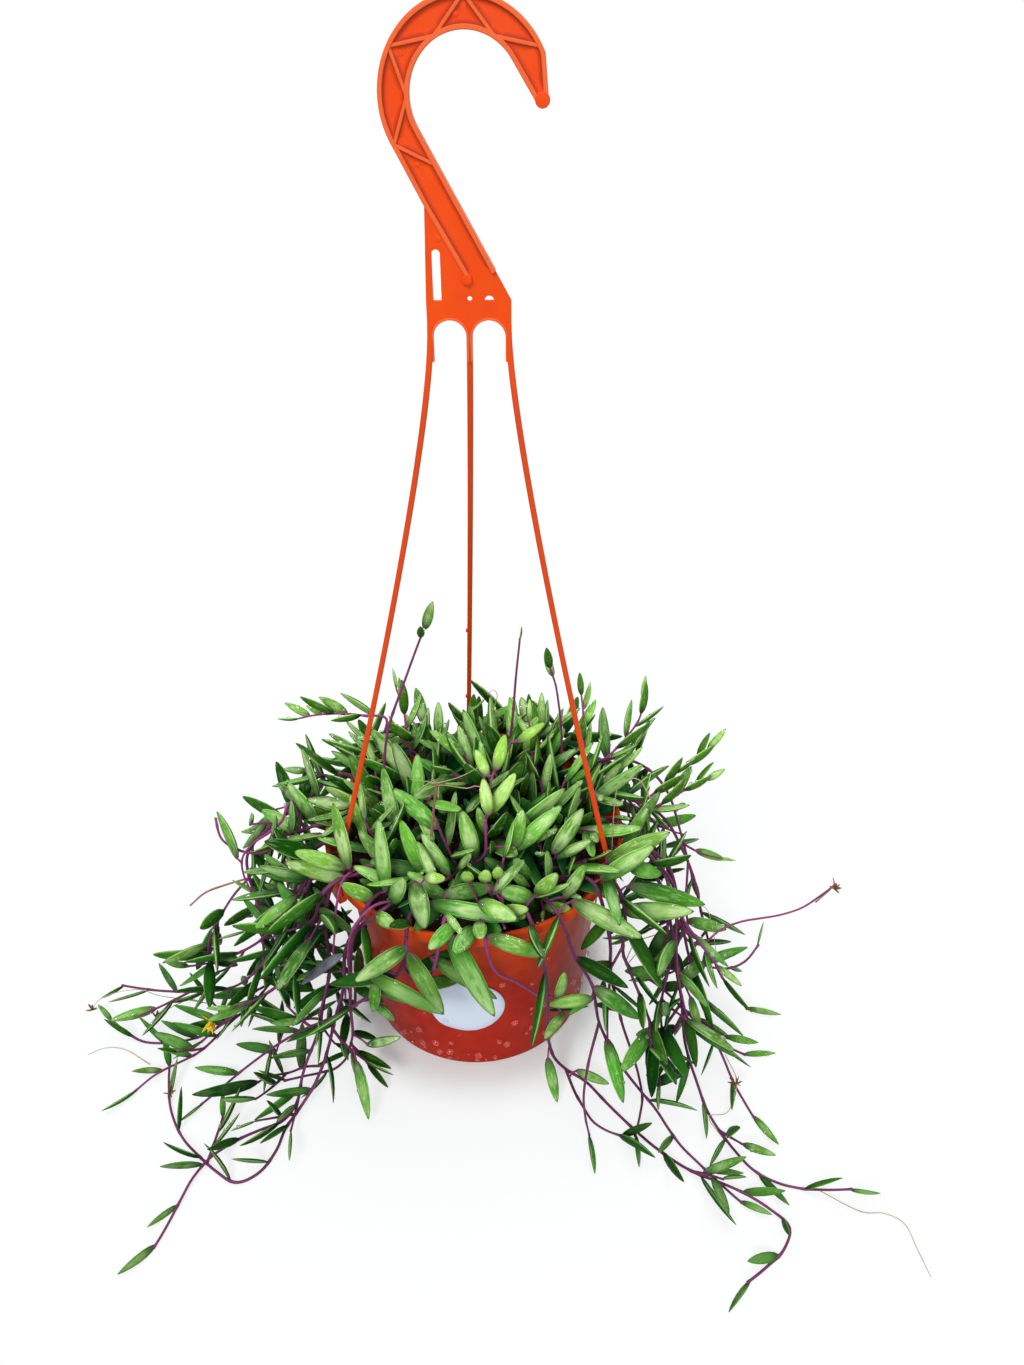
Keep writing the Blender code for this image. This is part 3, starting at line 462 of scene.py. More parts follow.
def unit(vectors):
    """The vector, or each row, at a length of one."""
    return vectors / np.maximum(np.linalg.norm(vectors, axis=-1, keepdims=True), 1e-9)


def run_along(line):
    """How far along the line each of its points lies."""
    return np.concatenate([[0.0], np.cumsum(np.linalg.norm(np.diff(line, axis=0), axis=1))])


def evenly(line, count):
    """So many points at equal steps along the line's straight stretches."""
    run = run_along(line)
    return np.stack([np.interp(np.linspace(0.0, run[-1], count), run, column) for column in line.T], axis=1)


def arc(x, z, radius, start, end, steps):
    """Points on a circle in the XZ plane, with both angles in degrees."""
    angle = np.radians(np.linspace(start, end, steps + 1))
    return np.stack([x + radius * np.cos(angle), z + radius * np.sin(angle)], axis=1)


def swept(path, section, across, out):
    """Carries a closed section, or one for each point, along a path: each path point plus the
    section's first number along across and its second along out. The ends are closed flat."""
    section = np.asarray(section, float)
    points = path[:, None] + across[:, None] * section[..., :1] + out[:, None] * section[..., 1:]
    count = section.shape[-2]
    faces = [face[::-1] for face in wrapped_faces(len(path), count)]
    faces += [list(range(count)), [len(path) * count - 1 - k for k in range(count)]]
    return points.reshape(-1, 3), faces


def turned_over(points, faces):
    """The same skin with its faces the other way out."""
    return points, [face[::-1] for face in faces]


def dense(line, step):
    """The line with points about every step along it."""
    line = np.asarray(line, float)
    return evenly(line, max(2, int(run_along(line)[-1] / step) + 1))


def bar_on_plate(line, low, high, depth, roots=(1, 1)):
    """A raised bar along a line in the plate's plane; low and high are to the line's right and left.
    On a side that has a root, a low fillet runs out over the web and narrows to nothing at both ends.
    Each point's marks say whether it is on the raised edge, which gets a painted highlight, and whether
    it lies in the corner, which gets painted shade."""
    line = dense(line, BAR_STEP)
    along, level = unit(np.gradient(line, axis=0)), np.zeros(len(line))
    path = np.stack([line[:, 0], level, line[:, 1]], axis=1)
    across = np.stack([-along[:, 1], level, along[:, 0]], axis=1)
    half, web = depth / 2, WEB / 2 + 0.02
    front = [(low, -web, 0, 0), (low, -web - 0.15, 0, roots[0]), (low, EDGE_SOFT - half, 1, 0),
             (low + EDGE_SOFT, -half, 1, 0), (high - EDGE_SOFT, -half, 1, 0), (high, EDGE_SOFT - half, 1, 0),
             (high, -web - 0.15, 0, roots[1]), (high, -web, 0, 0)]
    outline = np.array(front + [(x, -out, *marks) for x, out, *marks in reversed(front)], float)
    from_end = np.minimum(np.arange(len(line)), np.arange(len(line))[::-1]) * BAR_STEP
    reach = ROOT_WIDTH * np.clip((from_end - 1.0) / 2.5, 0.02, 1.0)
    section = np.repeat(outline[None, :, :2], len(line), axis=0)
    last = len(front) - 1
    for corner, way in ((0, -roots[0]), (2 * last + 1, -roots[0]), (last, roots[1]), (last + 1, roots[1])):
        section[:, corner, 0] += way * reach
    points, faces = swept(path, section, across, np.tile((0.0, 1.0, 0.0), (len(line), 1)))
    return points, faces, np.tile(outline[:, 2:], (len(line), 1))


def read_vectors(layer, name):
    """A vector of each element of a mesh layer, as rows."""
    values = np.empty(len(layer) * 3)
    layer.foreach_get(name, values)
    return values.reshape(-1, 3)


def flat_web(outline, openings):
    """The plate as a filled flat outline with a soft edge, stood up into the XZ plane."""
    curve = bpy.data.curves.new("web", "CURVE")
    curve.dimensions, curve.fill_mode = "2D", "BOTH"
    curve.extrude, curve.bevel_depth = (WEB / 2 - EDGE_ROUND) * MM, EDGE_ROUND * MM
    curve.offset, curve.bevel_resolution = -EDGE_ROUND * MM, 2
    for loop in (outline, *openings):
        spline = curve.splines.new("POLY")
        spline.points.add(len(loop) - 1)
        flat = np.zeros((len(loop), 4))
        flat[:, :2], flat[:, 3] = np.asarray(loop) * MM, 1.0
        spline.points.foreach_set("co", flat.ravel())
        spline.use_cyclic_u = True
    holder = in_scene("web", curve)
    mesh = bpy.data.meshes.new_from_object(holder.evaluated_get(bpy.context.evaluated_depsgraph_get()))
    bpy.data.objects.remove(holder, do_unlink=True)
    points = read_vectors(mesh.vertices, "co")[:, (0, 2, 1)] * (1.0, -1.0, 1.0) / MM
    return points, [list(face.vertices) for face in mesh.polygons]


def knob(x, z, radius, depth):
    """A short round peg through the plate: a turned outline laid over so that its axis is Y."""
    half = depth / 2
    profile = rounded([(0.0, -half), (radius, -half), (radius, half), (0.0, half)], 0.4, 3, closed=False)
    points, faces = turned(profile, 28)
    return points[:, (0, 2, 1)] * (1.0, -1.0, 1.0) + (x, 0.0, z), faces


def arm_path(start_x, azimuth, steps=60):
    """An arm leaves the plate straight down, then runs out in a straight slant to its clip: a cubic
    Bezier curve."""
    start = np.array((start_x, 0.0, ARCH_Z + 4.0))
    end = polar(CLIP_INNER + CLIP_THICK / 2, azimuth, CLIP_TOP - 1.0)
    flat = (end - start) * (1.0, 1.0, 0.0)
    bend, lead = start - (0.0, 0.0, ARM_DROP), end - flat * ARM_SPREAD + (0.0, 0.0, ARM_RISE)
    t = np.linspace(0.0, 1.0, steps + 1)[:, None]
    return (1 - t) ** 3 * start + 3 * (1 - t) ** 2 * t * bend + 3 * (1 - t) * t ** 2 * lead + t ** 3 * end


def frames_along(path, first_side):
    """Unit tangents, sides and ups along a path; the side turns as little as it can on the way."""
    tangent = unit(np.gradient(path, axis=0))
    side = np.empty_like(tangent)
    last = np.asarray(first_side, float)
    for k, along in enumerate(tangent):
        last = side[k] = unit(last - along * last.dot(along))
    return tangent, side, np.cross(tangent, side)


def clip(azimuth):
    """An L-shaped section, a wall outside the rim and a toe under it, carried along the rim's curve."""
    outer = CLIP_INNER + CLIP_THICK
    section = rounded([(TOE_INNER, CLIP_BOTTOM), (outer, CLIP_BOTTOM), (outer, CLIP_TOP),
                       (CLIP_INNER, CLIP_TOP), (CLIP_INNER, TOE_TOP), (TOE_INNER, TOE_TOP)],
                      (0.8, 0.5, 0.8, 0.4, 0.2, 0.8), 3)
    half = math.degrees(CLIP_WIDTH / 2 / CLIP_INNER)
    across = around(1.0, np.radians(np.linspace(azimuth - half, azimuth + half, 9)), 0.0)
    return turned_over(*swept(np.zeros_like(across), section, across, np.tile((0.0, 0.0, 1.0), (9, 1))))


def joined(parts):
    """Several skins, each points, faces and perhaps more, as one."""
    faces, start = [], 0
    for points, some, *_ in parts:
        faces += [[i + start for i in face] for face in some]
        start += len(points)
    return np.vstack([part[0] for part in parts]), faces


def moulding():
    """The web with its openings, everything raised on it, and the arms with their clips."""
    outer = arc(*HOOK, HOOK_OUTER, HOOK_MOUTH, SHANK_ANGLE, 72)
    inner = arc(*HOOK, HOOK_INNER, SHANK_ANGLE, INNER_MOUTH, 56)
    arch = (ARM_STARTS[1] - ARM_STARTS[0] - ARM_GAP_WIDTH) / 2
    arches = [arc((a + b) / 2, ARCH_Z, arch, 180.0, 0.0, 28) for a, b in zip(ARM_STARTS, ARM_STARTS[1:])]
    outline = np.vstack([TIP_OUTER_EDGE, outer, SHOULDER, (PLATE_LEFT, PLATE_CORNERS[0]),
                         (PLATE_LEFT, ARCH_Z), *arches, (PLATE_RIGHT, ARCH_Z),
                         (PLATE_RIGHT, PLATE_CORNERS[1]), inner, TIP_INNER_EDGE])
    slot_x, slot_low, slot_high, slot_half = SLOT
    slot = np.vstack([(slot_x + slot_half, slot_low), arc(slot_x, slot_high, slot_half, 0.0, 180.0, 14),
                      (slot_x - slot_half, slot_low)])
    parts = [flat_web(outline, (slot, arc(*PIN_HOLE, 0.0, 360.0, 16)[:-1], arc(*HALF_HOLE, 0.0, 180.0, 14)))]

    for line in ((TIP_OUTER_EDGE, outer, SHOULDER, BOSS[:2]), (INNER_FLANGE_FOOT, inner, TIP_INNER_EDGE)):
        parts.append(bar_on_plate(dense(np.vstack(line), 1.2), 0.0, FLANGE_WIDTH, FLANGE_DEPTH, (0, 1)))
    bends = [np.array(ZIGZAG_FOOT)]
    for k, angle in enumerate(range(int(SHANK_ANGLE), int(HOOK_MOUTH), -ZIGZAG_STEP)):
        radius = HOOK_INNER + FLANGE_WIDTH / 2 if k % 2 else HOOK_OUTER - FLANGE_WIDTH / 2
        bends.append(arc(*HOOK, radius, angle, angle, 0)[0])
    parts += [bar_on_plate(np.array(pair), -RIB_WIDTH / 2, RIB_WIDTH / 2, RIB_DEPTH)
              for pair in zip(bends, bends[1:])]
    parts += [bar_on_plate(np.vstack([line[:1] - ARCH_FOOT, line, line[-1:] - ARCH_FOOT]), 0.0, ARCH_EDGE,
                           ARCH_DEPTH, (0, 0)) for line in arches]
    parts += [knob(*TIP, TIP_RADIUS, FLANGE_DEPTH + 0.4), knob(*BOSS, FLANGE_DEPTH + 0.4)]
    parts += [knob(*mark, WEB + 0.35) for mark in EJECTOR_MARKS]

    section = [(x * ARM_WIDTH / 2, y * ARM_DEPTH / 2) for x, y in ((-1, -1), (1, -1), (1, 1), (-1, 1))]
    section = rounded(section, 0.75, 4)
    arms = [arm_path(*arm) for arm in zip(ARM_STARTS, ARM_AZIMUTHS)]
    for path, azimuth in zip(arms, ARM_AZIMUTHS):
        _, side, front = frames_along(path, (1.0, 0.0, 0.0))
        parts += [turned_over(*swept(path, section, side, front)), clip(azimuth)]
    for height in NUB_HEIGHTS:
        spot = arms[1][np.abs(arms[1][:, 2] - height).argmin()]
        points, faces = knob(0.0, 0.0, NUB_RADIUS, NUB_DEPTH)
        parts.append((points + spot - NUB_OUT, faces))
    marks = [part[2] if len(part) > 2 else np.zeros((len(part[0]), 2)) for part in parts]
    return *joined(parts), np.vstack(marks)


points, faces, marks = moulding()
hanger = new_piece("hanger_moulding", points, faces, [orange_polypropylene()], 42)
# Marks for the painted highlight on the raised edges and the painted shade in the corners.
set_attribute(hanger, "raised", marks[:, 0])
set_attribute(hanger, "corner", marks[:, 1])
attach(hanger, "root")
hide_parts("hanger")

# ---------------------------------------------------------------- stems of the plant
# Othonna capensis roots in the pot and trails over its rim on thin magenta stems. Each stem is a
# tapering tube with a swelling at every leaf. Stems are led along their routes, then pushed clear of
# the pot, the hanger and each other, so that none passes through another.
ROOT_Z = SOIL_TOP + GAP + 0.2
STEM_RADIUS, SHOOT_RADIUS = 1.0, 0.8
STEM_STEP, CROWN_STEP, CURVE_STEP = 12.0, 6.0, 2.2
STEM_CLEAR = 0.75
SETTLE_TURNS = 240
FLOOR_CLEAR = 0.3
LABEL_SPACE = 0.4
NEARBY = 8.0
GOLDEN_ANGLE = 137.5
LONG_VINE, LONG_VINE_SHOOT = 170.0, (34.0, 52.0)
CROWN_STEMS, CROWN_RADIUS = 18, 58.0
UP = np.array((0.0, 0.0, 1.0))
FIRST_SIDE = (0.0, 0.3, 1.0)
# Routes of the long stems outside the pot, from the rim to the tip. A height of 0 lies on the surface.
VINES = {
    "vine_right_1": [(39, -67, 126), (46, -68, 104), (58, -66, 70), (64, -70, 42), (78, -78, 16),
                     (92, -87, 0), (104, -110, 0), (127, -135, 0)],
    "vine_right_2": [(27, -73, 126), (35, -75, 90), (37, -66, 40), (42, -66, 10), (56, -70, 0),
                     (86, -105, 0), (122, -130, 0), (145, -143, 0), (143, -155, 0), (122, -170, 0)],
    "vine_right_3": [(64, -45, 128), (73, -51, 106), (75, -51, 72), (92, -47, 50), (110, -49, 30),
                     (126, -53, 12), (144, -56, 0)],
    "vine_right_4": [(72, -30, 128), (92, -38, 110), (101, -44, 70), (107, -52, 36), (112, -66, 8),
                     (122, -98, 0), (135, -119, 0), (154, -128, 0), (178, -132, 8)],
    "vine_right_5": [(74, -22, 128), (96, -28, 108), (110, -34, 70), (120, -34, 48), (140, -26, 36),
                     (154, -14, 40)],
    "vine_right_6": [(76, -14, 128), (96, -24, 104), (110, -34, 66), (120, -46, 28), (134, -72, 2),
                     (141, -92, 0)],
    "vine_right_7": [(58, -52, 126), (66, -54, 92), (70, -55, 56), (80, -62, 18), (86, -80, 0),
                     (78, -104, 0)],
    "vine_right_8": [(77, 8, 128), (98, 10, 112), (114, 6, 84), (124, -4, 50), (134, -14, 20),
                     (150, -28, 2)],
    "vine_right_9": [(68, 36, 130), (88, 42, 122), (106, 46, 100), (118, 44, 66), (126, 40, 36)],
    "vine_left_1": [(-28, -74, 127), (-30, -80, 108), (-38, -80, 92), (-52, -76, 74),
                    (-72, -68, 50), (-98, -62, 24), (-123, -66, 4), (-140, -84, 0)],
    "vine_left_2": [(-40, -68, 127), (-52, -64, 112), (-60, -64, 94), (-64, -66, 66),
                    (-72, -68, 38), (-80, -76, 12), (-93, -92, 0), (-98, -112, 0), (-112, -124, 0),
                    (-139, -107, 0), (-156, -84, 0), (-162, -60, 0)],
    "vine_left_3": [(-62, -46, 128), (-70, -52, 108), (-70, -56, 82), (-76, -60, 48),
                    (-87, -72, 12), (-95, -91, 0), (-117, -103, 0), (-130, -116, 0),
                    (-144, -154, 0)],
    "vine_left_4": [(-71, -33, 126), (-88, -35, 102), (-108, -33, 70), (-132, -31, 50),
                    (-154, -29, 42)],
    "vine_left_5": [(-70, -40, 127), (-84, -43, 106), (-100, -40, 72), (-125, -36, 36),
                    (-157, -30, 22), (-195, -24, 20)],
    "vine_left_6": [(-66, -50, 126), (-76, -54, 104), (-92, -50, 62), (-126, -42, 22),
                    (-155, -46, 0), (-180, -46, 0), (-202, -34, 4)],
    "vine_left_7": [(-74, -24, 126), (-90, -20, 98), (-97, -12, 58), (-110, -10, 20),
                    (-132, -30, 0), (-154, -60, 0), (-176, -76, 0)],
    "vine_left_8": [(-78, 6, 130), (-104, 4, 114), (-120, -2, 94), (-114, -15, 64), (-116, -26, 36),
                    (-134, -34, 12), (-150, -46, 0)],
    "vine_left_9": [(-77, -12, 128), (-96, -14, 118), (-112, -14, 110), (-128, -6, 110),
                    (-134, 6, 116)],
    "vine_left_10": [(-46, -62, 127), (-56, -68, 100), (-60, -70, 56), (-64, -64, 22),
                     (-74, -64, 2), (-100, -70, 0)],
    "vine_front_1": [(-12, -76, 127), (-16, -83, 108), (-22, -84, 88), (-20, -80, 70)],
    "vine_front_2": [(6, -77, 127), (10, -84, 108), (22, -80, 92), (34, -76, 74)],
}
# Shorter stems that fall over the rim where no long one does: azimuth, landing radius, end height.
SHORT_VINES = ((30.0, 112.0, 30.0), (52.0, 104.0, 8.0), (76.0, 108.0, 0.0), (112.0, 106.0, 12.0),
               (134.0, 110.0, 0.0), (158.0, 122.0, 24.0))
# Upright stalks in the crown and one dried flower stalk that leans out to the right.
STALKS = {
    "tall_bud_stalk": [(-40, 6, ROOT_Z), (-45, 5, 136), (-42, 5, 168), (-33, 5, 198),
                       (-20, 5, 232)],
    "small_bud_stalk": [(14, 24, ROOT_Z), (17, 25, 139), (21, 25, 183), (23, 25, 214)],
    "leafy_stalk": [(46, 30, ROOT_Z), (45, 30, 150), (42, 30, 180), (38, 30, 194)],
    "dried_flower_stalk": [(58, -14, ROOT_Z), (70, -16, 132), (92, -22, 112), (112, -30, 60),
                           (135, -18, 60), (173, -12, 66), (188, -13, 86)],
}


class Crowd:
    """Balls that stand for everything placed so far, so that each new piece keeps clear of it."""

    def __init__(self):
        self.points, self.radii, self.owners = np.zeros((0, 3)), np.zeros(0), np.zeros(0, int)

    def add(self, points, radii, owner):
        self.points = np.vstack([self.points, points])
        self.radii = np.concatenate([self.radii, np.broadcast_to(radii, len(points))])
        self.owners = np.concatenate([self.owners, np.full(len(points), owner)])

    def room(self, points, radii):
        """The least clear distance from new balls to the placed ones nearby, or more than NEARBY."""
        low, high = points.min(axis=0) - NEARBY, points.max(axis=0) + NEARBY
        near = ((self.points > low) & (self.points < high)).all(axis=1)
        if not near.any():
            return NEARBY + 1.0
        apart = np.linalg.norm(points[:, None] - self.points[near][None], axis=2)
        return (apart - np.asarray(radii)[:, None] - self.radii[near][None]).min()


def resample(points, step):
    """Catmull-Rom curve through the points, cut into equal steps."""
    points = np.array(points, float)
    ends = np.vstack([2 * points[0] - points[1], points, 2 * points[-1] - points[-2]])
    t = np.linspace(0.0, 1.0, 12, endpoint=False)[:, None]
    curve = [0.5 * (2 * b + (c - a) * t + (2 * a - 5 * b + 4 * c - d) * t ** 2
                    + (3 * b - a - 3 * c + d) * t ** 3)
             for a, b, c, d in zip(ends, ends[1:], ends[2:], ends[3:])]
    curve = np.vstack(curve + [points[-1:]])
    return evenly(curve, max(3, int(round(run_along(curve)[-1] / step)) + 1))


def fill(path, step=1.6):
    """Points at least every step along the straight stretches of a path."""
    return evenly(path, int(run_along(path)[-1] / step) + 2)


def clear_of_pot(path, outside_from, radius):
    """Move path points off the pot: inside the wall up to the rim, outside it from there on."""
    path = path.copy()
    reach, z = np.hypot(path[:, 0], path[:, 1]), path[:, 2]
    inside = np.arange(len(path)) < outside_from
    low = z < POT_HEIGHT + radius + 0.6
    limit = np.where(inside & low, wall_radius(SOIL_TOP) - WALL - radius - 2.0, np.inf)
    scale = np.minimum(1.0, limit / np.maximum(reach, 1e-6))
    outer = np.where(z > FLARE, RIM_RADIUS, outer_radius(z) + LABEL_THICKNESS + GAP)
    clear = outer + radius + 0.8
    scale = np.where(~inside & low & (reach < clear), clear / np.maximum(reach, 1e-6), scale)
    path[:, :2] *= scale[:, None]
    path[:, 2] = np.maximum(z, radius + FLOOR_CLEAR)
    return path


def settle(path, crowd, outside_from, radius, skip=None):
    """Push a stem's points away from what is already there, a little at a time, keeping it smooth.
    A shoot that skips its own stem's balls keeps its first point; a rooted stem's first stays level."""
    path = clear_of_pot(path, outside_from, radius)
    others = np.ones(len(crowd.radii), bool) if skip is None else ~skip
    centres, sizes = crowd.points[others], crowd.radii[others]
    for turn in range(SETTLE_TURNS):
        probes = np.vstack([path, (path[1:] + path[:-1]) / 2])
        offset = probes[:, None] - centres[None]
        apart = np.linalg.norm(offset, axis=2) + 1e-9
        short = radius + sizes[None] + STEM_CLEAR - apart
        worst = np.arange(len(probes)), short.argmax(axis=1)
        depth = np.maximum(short[worst], 0.0)
        if depth.max() <= 0.0:
            break
        away = offset[worst] / apart[worst][:, None]
        away[:, 2] += 0.6 * (away[:, 2] > -0.5)
        step = unit(away) * depth[:, None]
        push, between = step[:len(path)].copy(), step[len(path):] * 0.6
        push[1:] += between
        push[:-1] += between
        push[0] *= 0.0 if skip is not None else (1.0, 1.0, 0.0)
        if turn < SETTLE_TURNS * 0.7:
            push[1:-1] = push[1:-1] * 0.7 + (push[2:] + push[:-2]) * 0.25
        path = clear_of_pot(path + push, outside_from, radius)
    return path


def rooted(route):
    """Put the stretch from the soil to the rim in front of a route that starts above the rim."""
    azimuth = math.degrees(math.atan2(route[0][1], route[0][0]))
    return [polar(52.0, azimuth, ROOT_Z), polar(60.0, azimuth, 120.0), *route]


def short_route(azimuth, reach, end):
    """Over the rim and down in a loose curve."""
    return [polar(radius, azimuth + turn, z) for radius, turn, z in (
        (76.0, 0.0, 127.0), (92.0, 3.0, 112.0), (reach - 6.0, 4.0, 72.0), (reach, 0.0, max(end, 30.0)),
        (reach + 10.0, -6.0, end))]


def first_outside(path):
    """Index of the first point beyond the rim's middle."""
    return int(np.argmax(np.hypot(path[:, 0], path[:, 1]) > RIM_RADIUS - RIM_WALL / 2))


def shoot_route(path, k, length):
    """A side shoot that leaves its stem at point k at an angle and then bends back along it."""
    tangent = unit(path[k + 1] - path[max(k - 1, 0)])
    side = unit(np.cross(tangent, UP))
    steps = ((0.0, 0.0, 0.0), (0.3, 0.3, 0.06), (0.62, 0.55, 0.02), (1.0, 0.6, -0.05))
    return [path[k] + (tangent * ahead + side * out + UP * up) * length for ahead, out, up in steps]


def plan_stems():
    """Every stem as (name, route, kind), in the order they are placed."""
    plan = [(name, route, "stalk") for name, route in STALKS.items()]
    plan += [(name, rooted(route), "vine") for name, route in VINES.items()]
    plan += [(f"vine_back_{k}", rooted(short_route(*landing)), "vine")
             for k, landing in enumerate(SHORT_VINES, 1)]
    for k in range(CROWN_STEMS):
        lean = math.sqrt((k + 0.5) / CROWN_STEMS)
        reach, azimuth = CROWN_RADIUS * lean, GOLDEN_ANGLE * k + 20.0
        route = [polar(reach * 0.86, azimuth, ROOT_Z), polar(reach * 0.95, azimuth, SOIL_TOP + 12.0),
                 polar(reach + 16.0 * lean, azimuth, SOIL_TOP + 36.0 - 9.0 * lean)]
        plan.append((f"crown_stem_{k + 1}", route, "crown"))
    return plan


def grow_stem(crowd, owner, route, kind):
    """The settled paths of a stem and its side shoot, with their radii."""
    path = resample(route, CROWN_STEP if kind == "crown" else STEM_STEP)
    reach = np.hypot(path[:, 0], path[:, 1])
    outside = first_outside(path) if reach.max() > RIM_RADIUS - 1.0 else len(path)
    path = settle(path, crowd, outside, STEM_RADIUS)
    crowd.add(fill(path), STEM_RADIUS, owner)
    parts = [(path, STEM_RADIUS)]
    if kind == "vine" and len(path) * STEM_STEP > LONG_VINE:
        length = np.random.default_rng(owner).uniform(*LONG_VINE_SHOOT)
        middle = (len(path) - 1) // 2
        near = (crowd.owners == owner) & (np.linalg.norm(crowd.points - path[middle], axis=1) < STEM_STEP)
        shoot = resample(shoot_route(path, middle, length), STEM_STEP)
        shoot = settle(shoot, crowd, 0, SHOOT_RADIUS, skip=near)
        crowd.add(fill(shoot)[3:], SHOOT_RADIUS, owner)
        parts.append((shoot, SHOOT_RADIUS))
    return parts


def flexed(path, rng, amount):
    """A smooth curve through a settled path, with a slight zigzag where leaves were: two sine waves
    across the stem, fading to nothing at its root."""
    curve = resample(path, CURVE_STEP)
    run = np.arange(len(curve)) * CURVE_STEP
    _, side, front = frames_along(curve, FIRST_SIDE)
    waves = np.sin(run / rng.uniform(6.0, 9.0) + rng.uniform(0, 6)), np.sin(run / rng.uniform(8.0, 12.0))
    fade = np.clip(run / 15.0, 0.0, 1.0)
    curve = curve + (side * (waves[0] * fade)[:, None] + front * (waves[1] * fade)[:, None]) * amount
    curve[:, 2] = np.maximum(curve[:, 2], 1.1)
    return curve


def stem_skin(path, radius, joints, thin=0.6, sides=6):
    """A round tube along the path. Its radius falls evenly to thin of itself at the tip, plus a
    bell-shaped swelling at each joint, whose places are fractions of the path."""
    tangent, side, front = frames_along(path, FIRST_SIDE)
    t = np.linspace(0.0, 1.0, len(path))
    length = run_along(path)[-1]
    size = radius * (1.0 - (1.0 - thin) * t)
    for joint in joints:
        size = size * (1.0 + 0.32 * np.exp(-((t - joint) * length / 1.3) ** 2))
    angle = circle(sides)[:, None]
    ring = side[:, None] * np.cos(angle) + front[:, None] * np.sin(angle)
    points = (path[:, None] + ring * size[:, None, None]).reshape(-1, 3)
    root, tip = path[0] - tangent[0] * size[0] * 0.5, path[-1] + tangent[-1] * size[-1] * 0.8
    points = np.vstack([root, points, tip])
    along = np.concatenate([[0.0], np.repeat(t, sides), [1.0]])
    return points, poled_faces(len(path), sides), along


# ---------------------------------------------------------------- leaves of the plant
# The leaves are fleshy spindles, plump and short in the crown, slender on the trailing stems, with a
# faint groove above, a keel below and a purple point. All leaves of a stem are computed at once.
LEAF_SIDES = 8
LEAF_T = np.array((0.035, 0.13, 0.3, 0.5, 0.7, 0.86, 0.96))
DEPTH_ABOVE, DEPTH_BELOW, GROOVE = 0.36, 0.78, 0.62      # shares of half the width, and of the depth
BALL_T = np.array((0.05, 0.18, 0.32, 0.46, 0.60, 0.74, 0.88, 0.98))
BALL_SIZE = np.array((0.25, 0.6, 0.95, 1.0, 1.0, 0.85, 0.5, 0.15))
# What each point carries for the materials: how far along its leaf or stem it lies, from -1 to 1 how
# far it faces up, and from 0 to 1 the leaf's own tone, its youth and its shade.
MARKS = ("along", "facing", "tone", "youth", "shade")
RETRY_TURN, SHOOT_RETRY_TURN = math.radians(47.0), math.radians(77.0)
SHOOT_TRIES, SHOOT_CLEAR = 12, 0.2


def leaf_skins(leaves):
    """Points, faces and marks of many leaves. A leaf's middle line is its base plus its direction
    times the distance, plus its upper side times bend times the distance squared. Half its width
    there is t to the power a times (1 - t) to the power b, scaled to 1 at the widest place; its half
    depth is a part of that, less on the upper side, with a groove along the middle."""
    base, direction, upper, length, width, plump, bend, tone, youth, shade = (
        np.array(values, float) for values in zip(*leaves))
    count, rings, size = len(leaves), len(LEAF_T), len(LEAF_T) * LEAF_SIDES + 2
    t = LEAF_T[None, :]
    a, b = 0.62 - 0.25 * plump[:, None], 0.95 - 0.53 * plump[:, None]
    widest = a / (a + b)
    half = width[:, None] / 2 * (t / widest) ** a * ((1 - t) / (1 - widest)) ** b
    side = unit(np.cross(direction, upper))
    upper = np.cross(side, direction)
    run = t[..., None] * length[:, None, None]
    curl = bend[:, None, None] * length[:, None, None] * t[..., None] ** 2
    middle = base[:, None] + direction[:, None] * run + upper[:, None] * curl
    tangent = unit(direction[:, None] + upper[:, None] * 2 * bend[:, None, None] * t[..., None])
    raised = np.cross(np.broadcast_to(side[:, None], tangent.shape), tangent)
    across, rise = np.cos(circle(LEAF_SIDES)), np.sin(circle(LEAF_SIDES))
    depth = np.where(rise > 0.01, DEPTH_ABOVE, DEPTH_BELOW) * np.where(rise > 0.99, GROOVE, 1.0) * rise
    depth = depth[None, None] * (0.7 + 0.3 * plump[:, None, None])
    skin = (middle[:, :, None] + side[:, None, None] * (half[..., None] * across)[..., None]
            + raised[:, :, None] * (half[..., None] * depth)[..., None])
    first = base - direction * 0.5
    last = base + direction * length[:, None] + upper * (bend * length)[:, None]
    points = np.concatenate([first[:, None], skin.reshape(count, -1, 3), last[:, None]], axis=1)
    along = np.concatenate([[0.0], np.repeat(LEAF_T, LEAF_SIDES), [1.0]])
    facing = np.concatenate([[0.0], np.tile(rise, rings), [0.0]])
    marks = [np.tile(along, count), np.tile(facing, count), *np.repeat((tone, youth, shade), size, axis=1)]
    return *repeated(points, [face[::-1] for face in poled_faces(rings, LEAF_SIDES)]), marks


def repeated(points, pattern):
    """Many skins with the same pattern of faces, as one."""
    count, size = points.shape[:2]
    return points.reshape(-1, 3), [[i + size * k for i in face] for k in range(count) for face in pattern]


def leaf_balls(leaf):
    """Balls along a leaf, for keeping clear."""
    base, direction, upper, length, width, _, bend = leaf[:7]
    centre = base + direction * length * BALL_T[:, None] + upper * bend * length * (BALL_T ** 2)[:, None]
    return centre, BALL_SIZE * width * 0.42


def has_room(points, radii, crowd, squeeze, free=2):
    """True if balls keep out of the floor, the pot and the soil, and all but the first few, where the
    growth joins its stem, overlap other stems and leaves by no more than the squeeze."""
    if (points[:, 2] - radii < FLOOR_CLEAR).any():
        return False
    reach, z = np.hypot(points[:, 0], points[:, 1]), points[:, 2]
    wall = outer_radius(z)
    inside = reach <= wall - RIM_WALL - 0.4 - radii
    outside = reach >= wall + LABEL_SPACE + GAP + radii
    if ((~inside & ~outside & (z < POT_HEIGHT + radii * 0.8)) | (inside & (z < SOIL_TOP + radii))).any():
        return False
    return crowd.room(points[free:], radii[free:]) > -squeeze


def spot_on(path, site):
    """The point at a fraction of the path, and the index of the path point before it."""
    at = site * (len(path) - 1)
    k = min(int(at), len(path) - 2)
    return path[k] + (path[k + 1] - path[k]) * (at - k), k


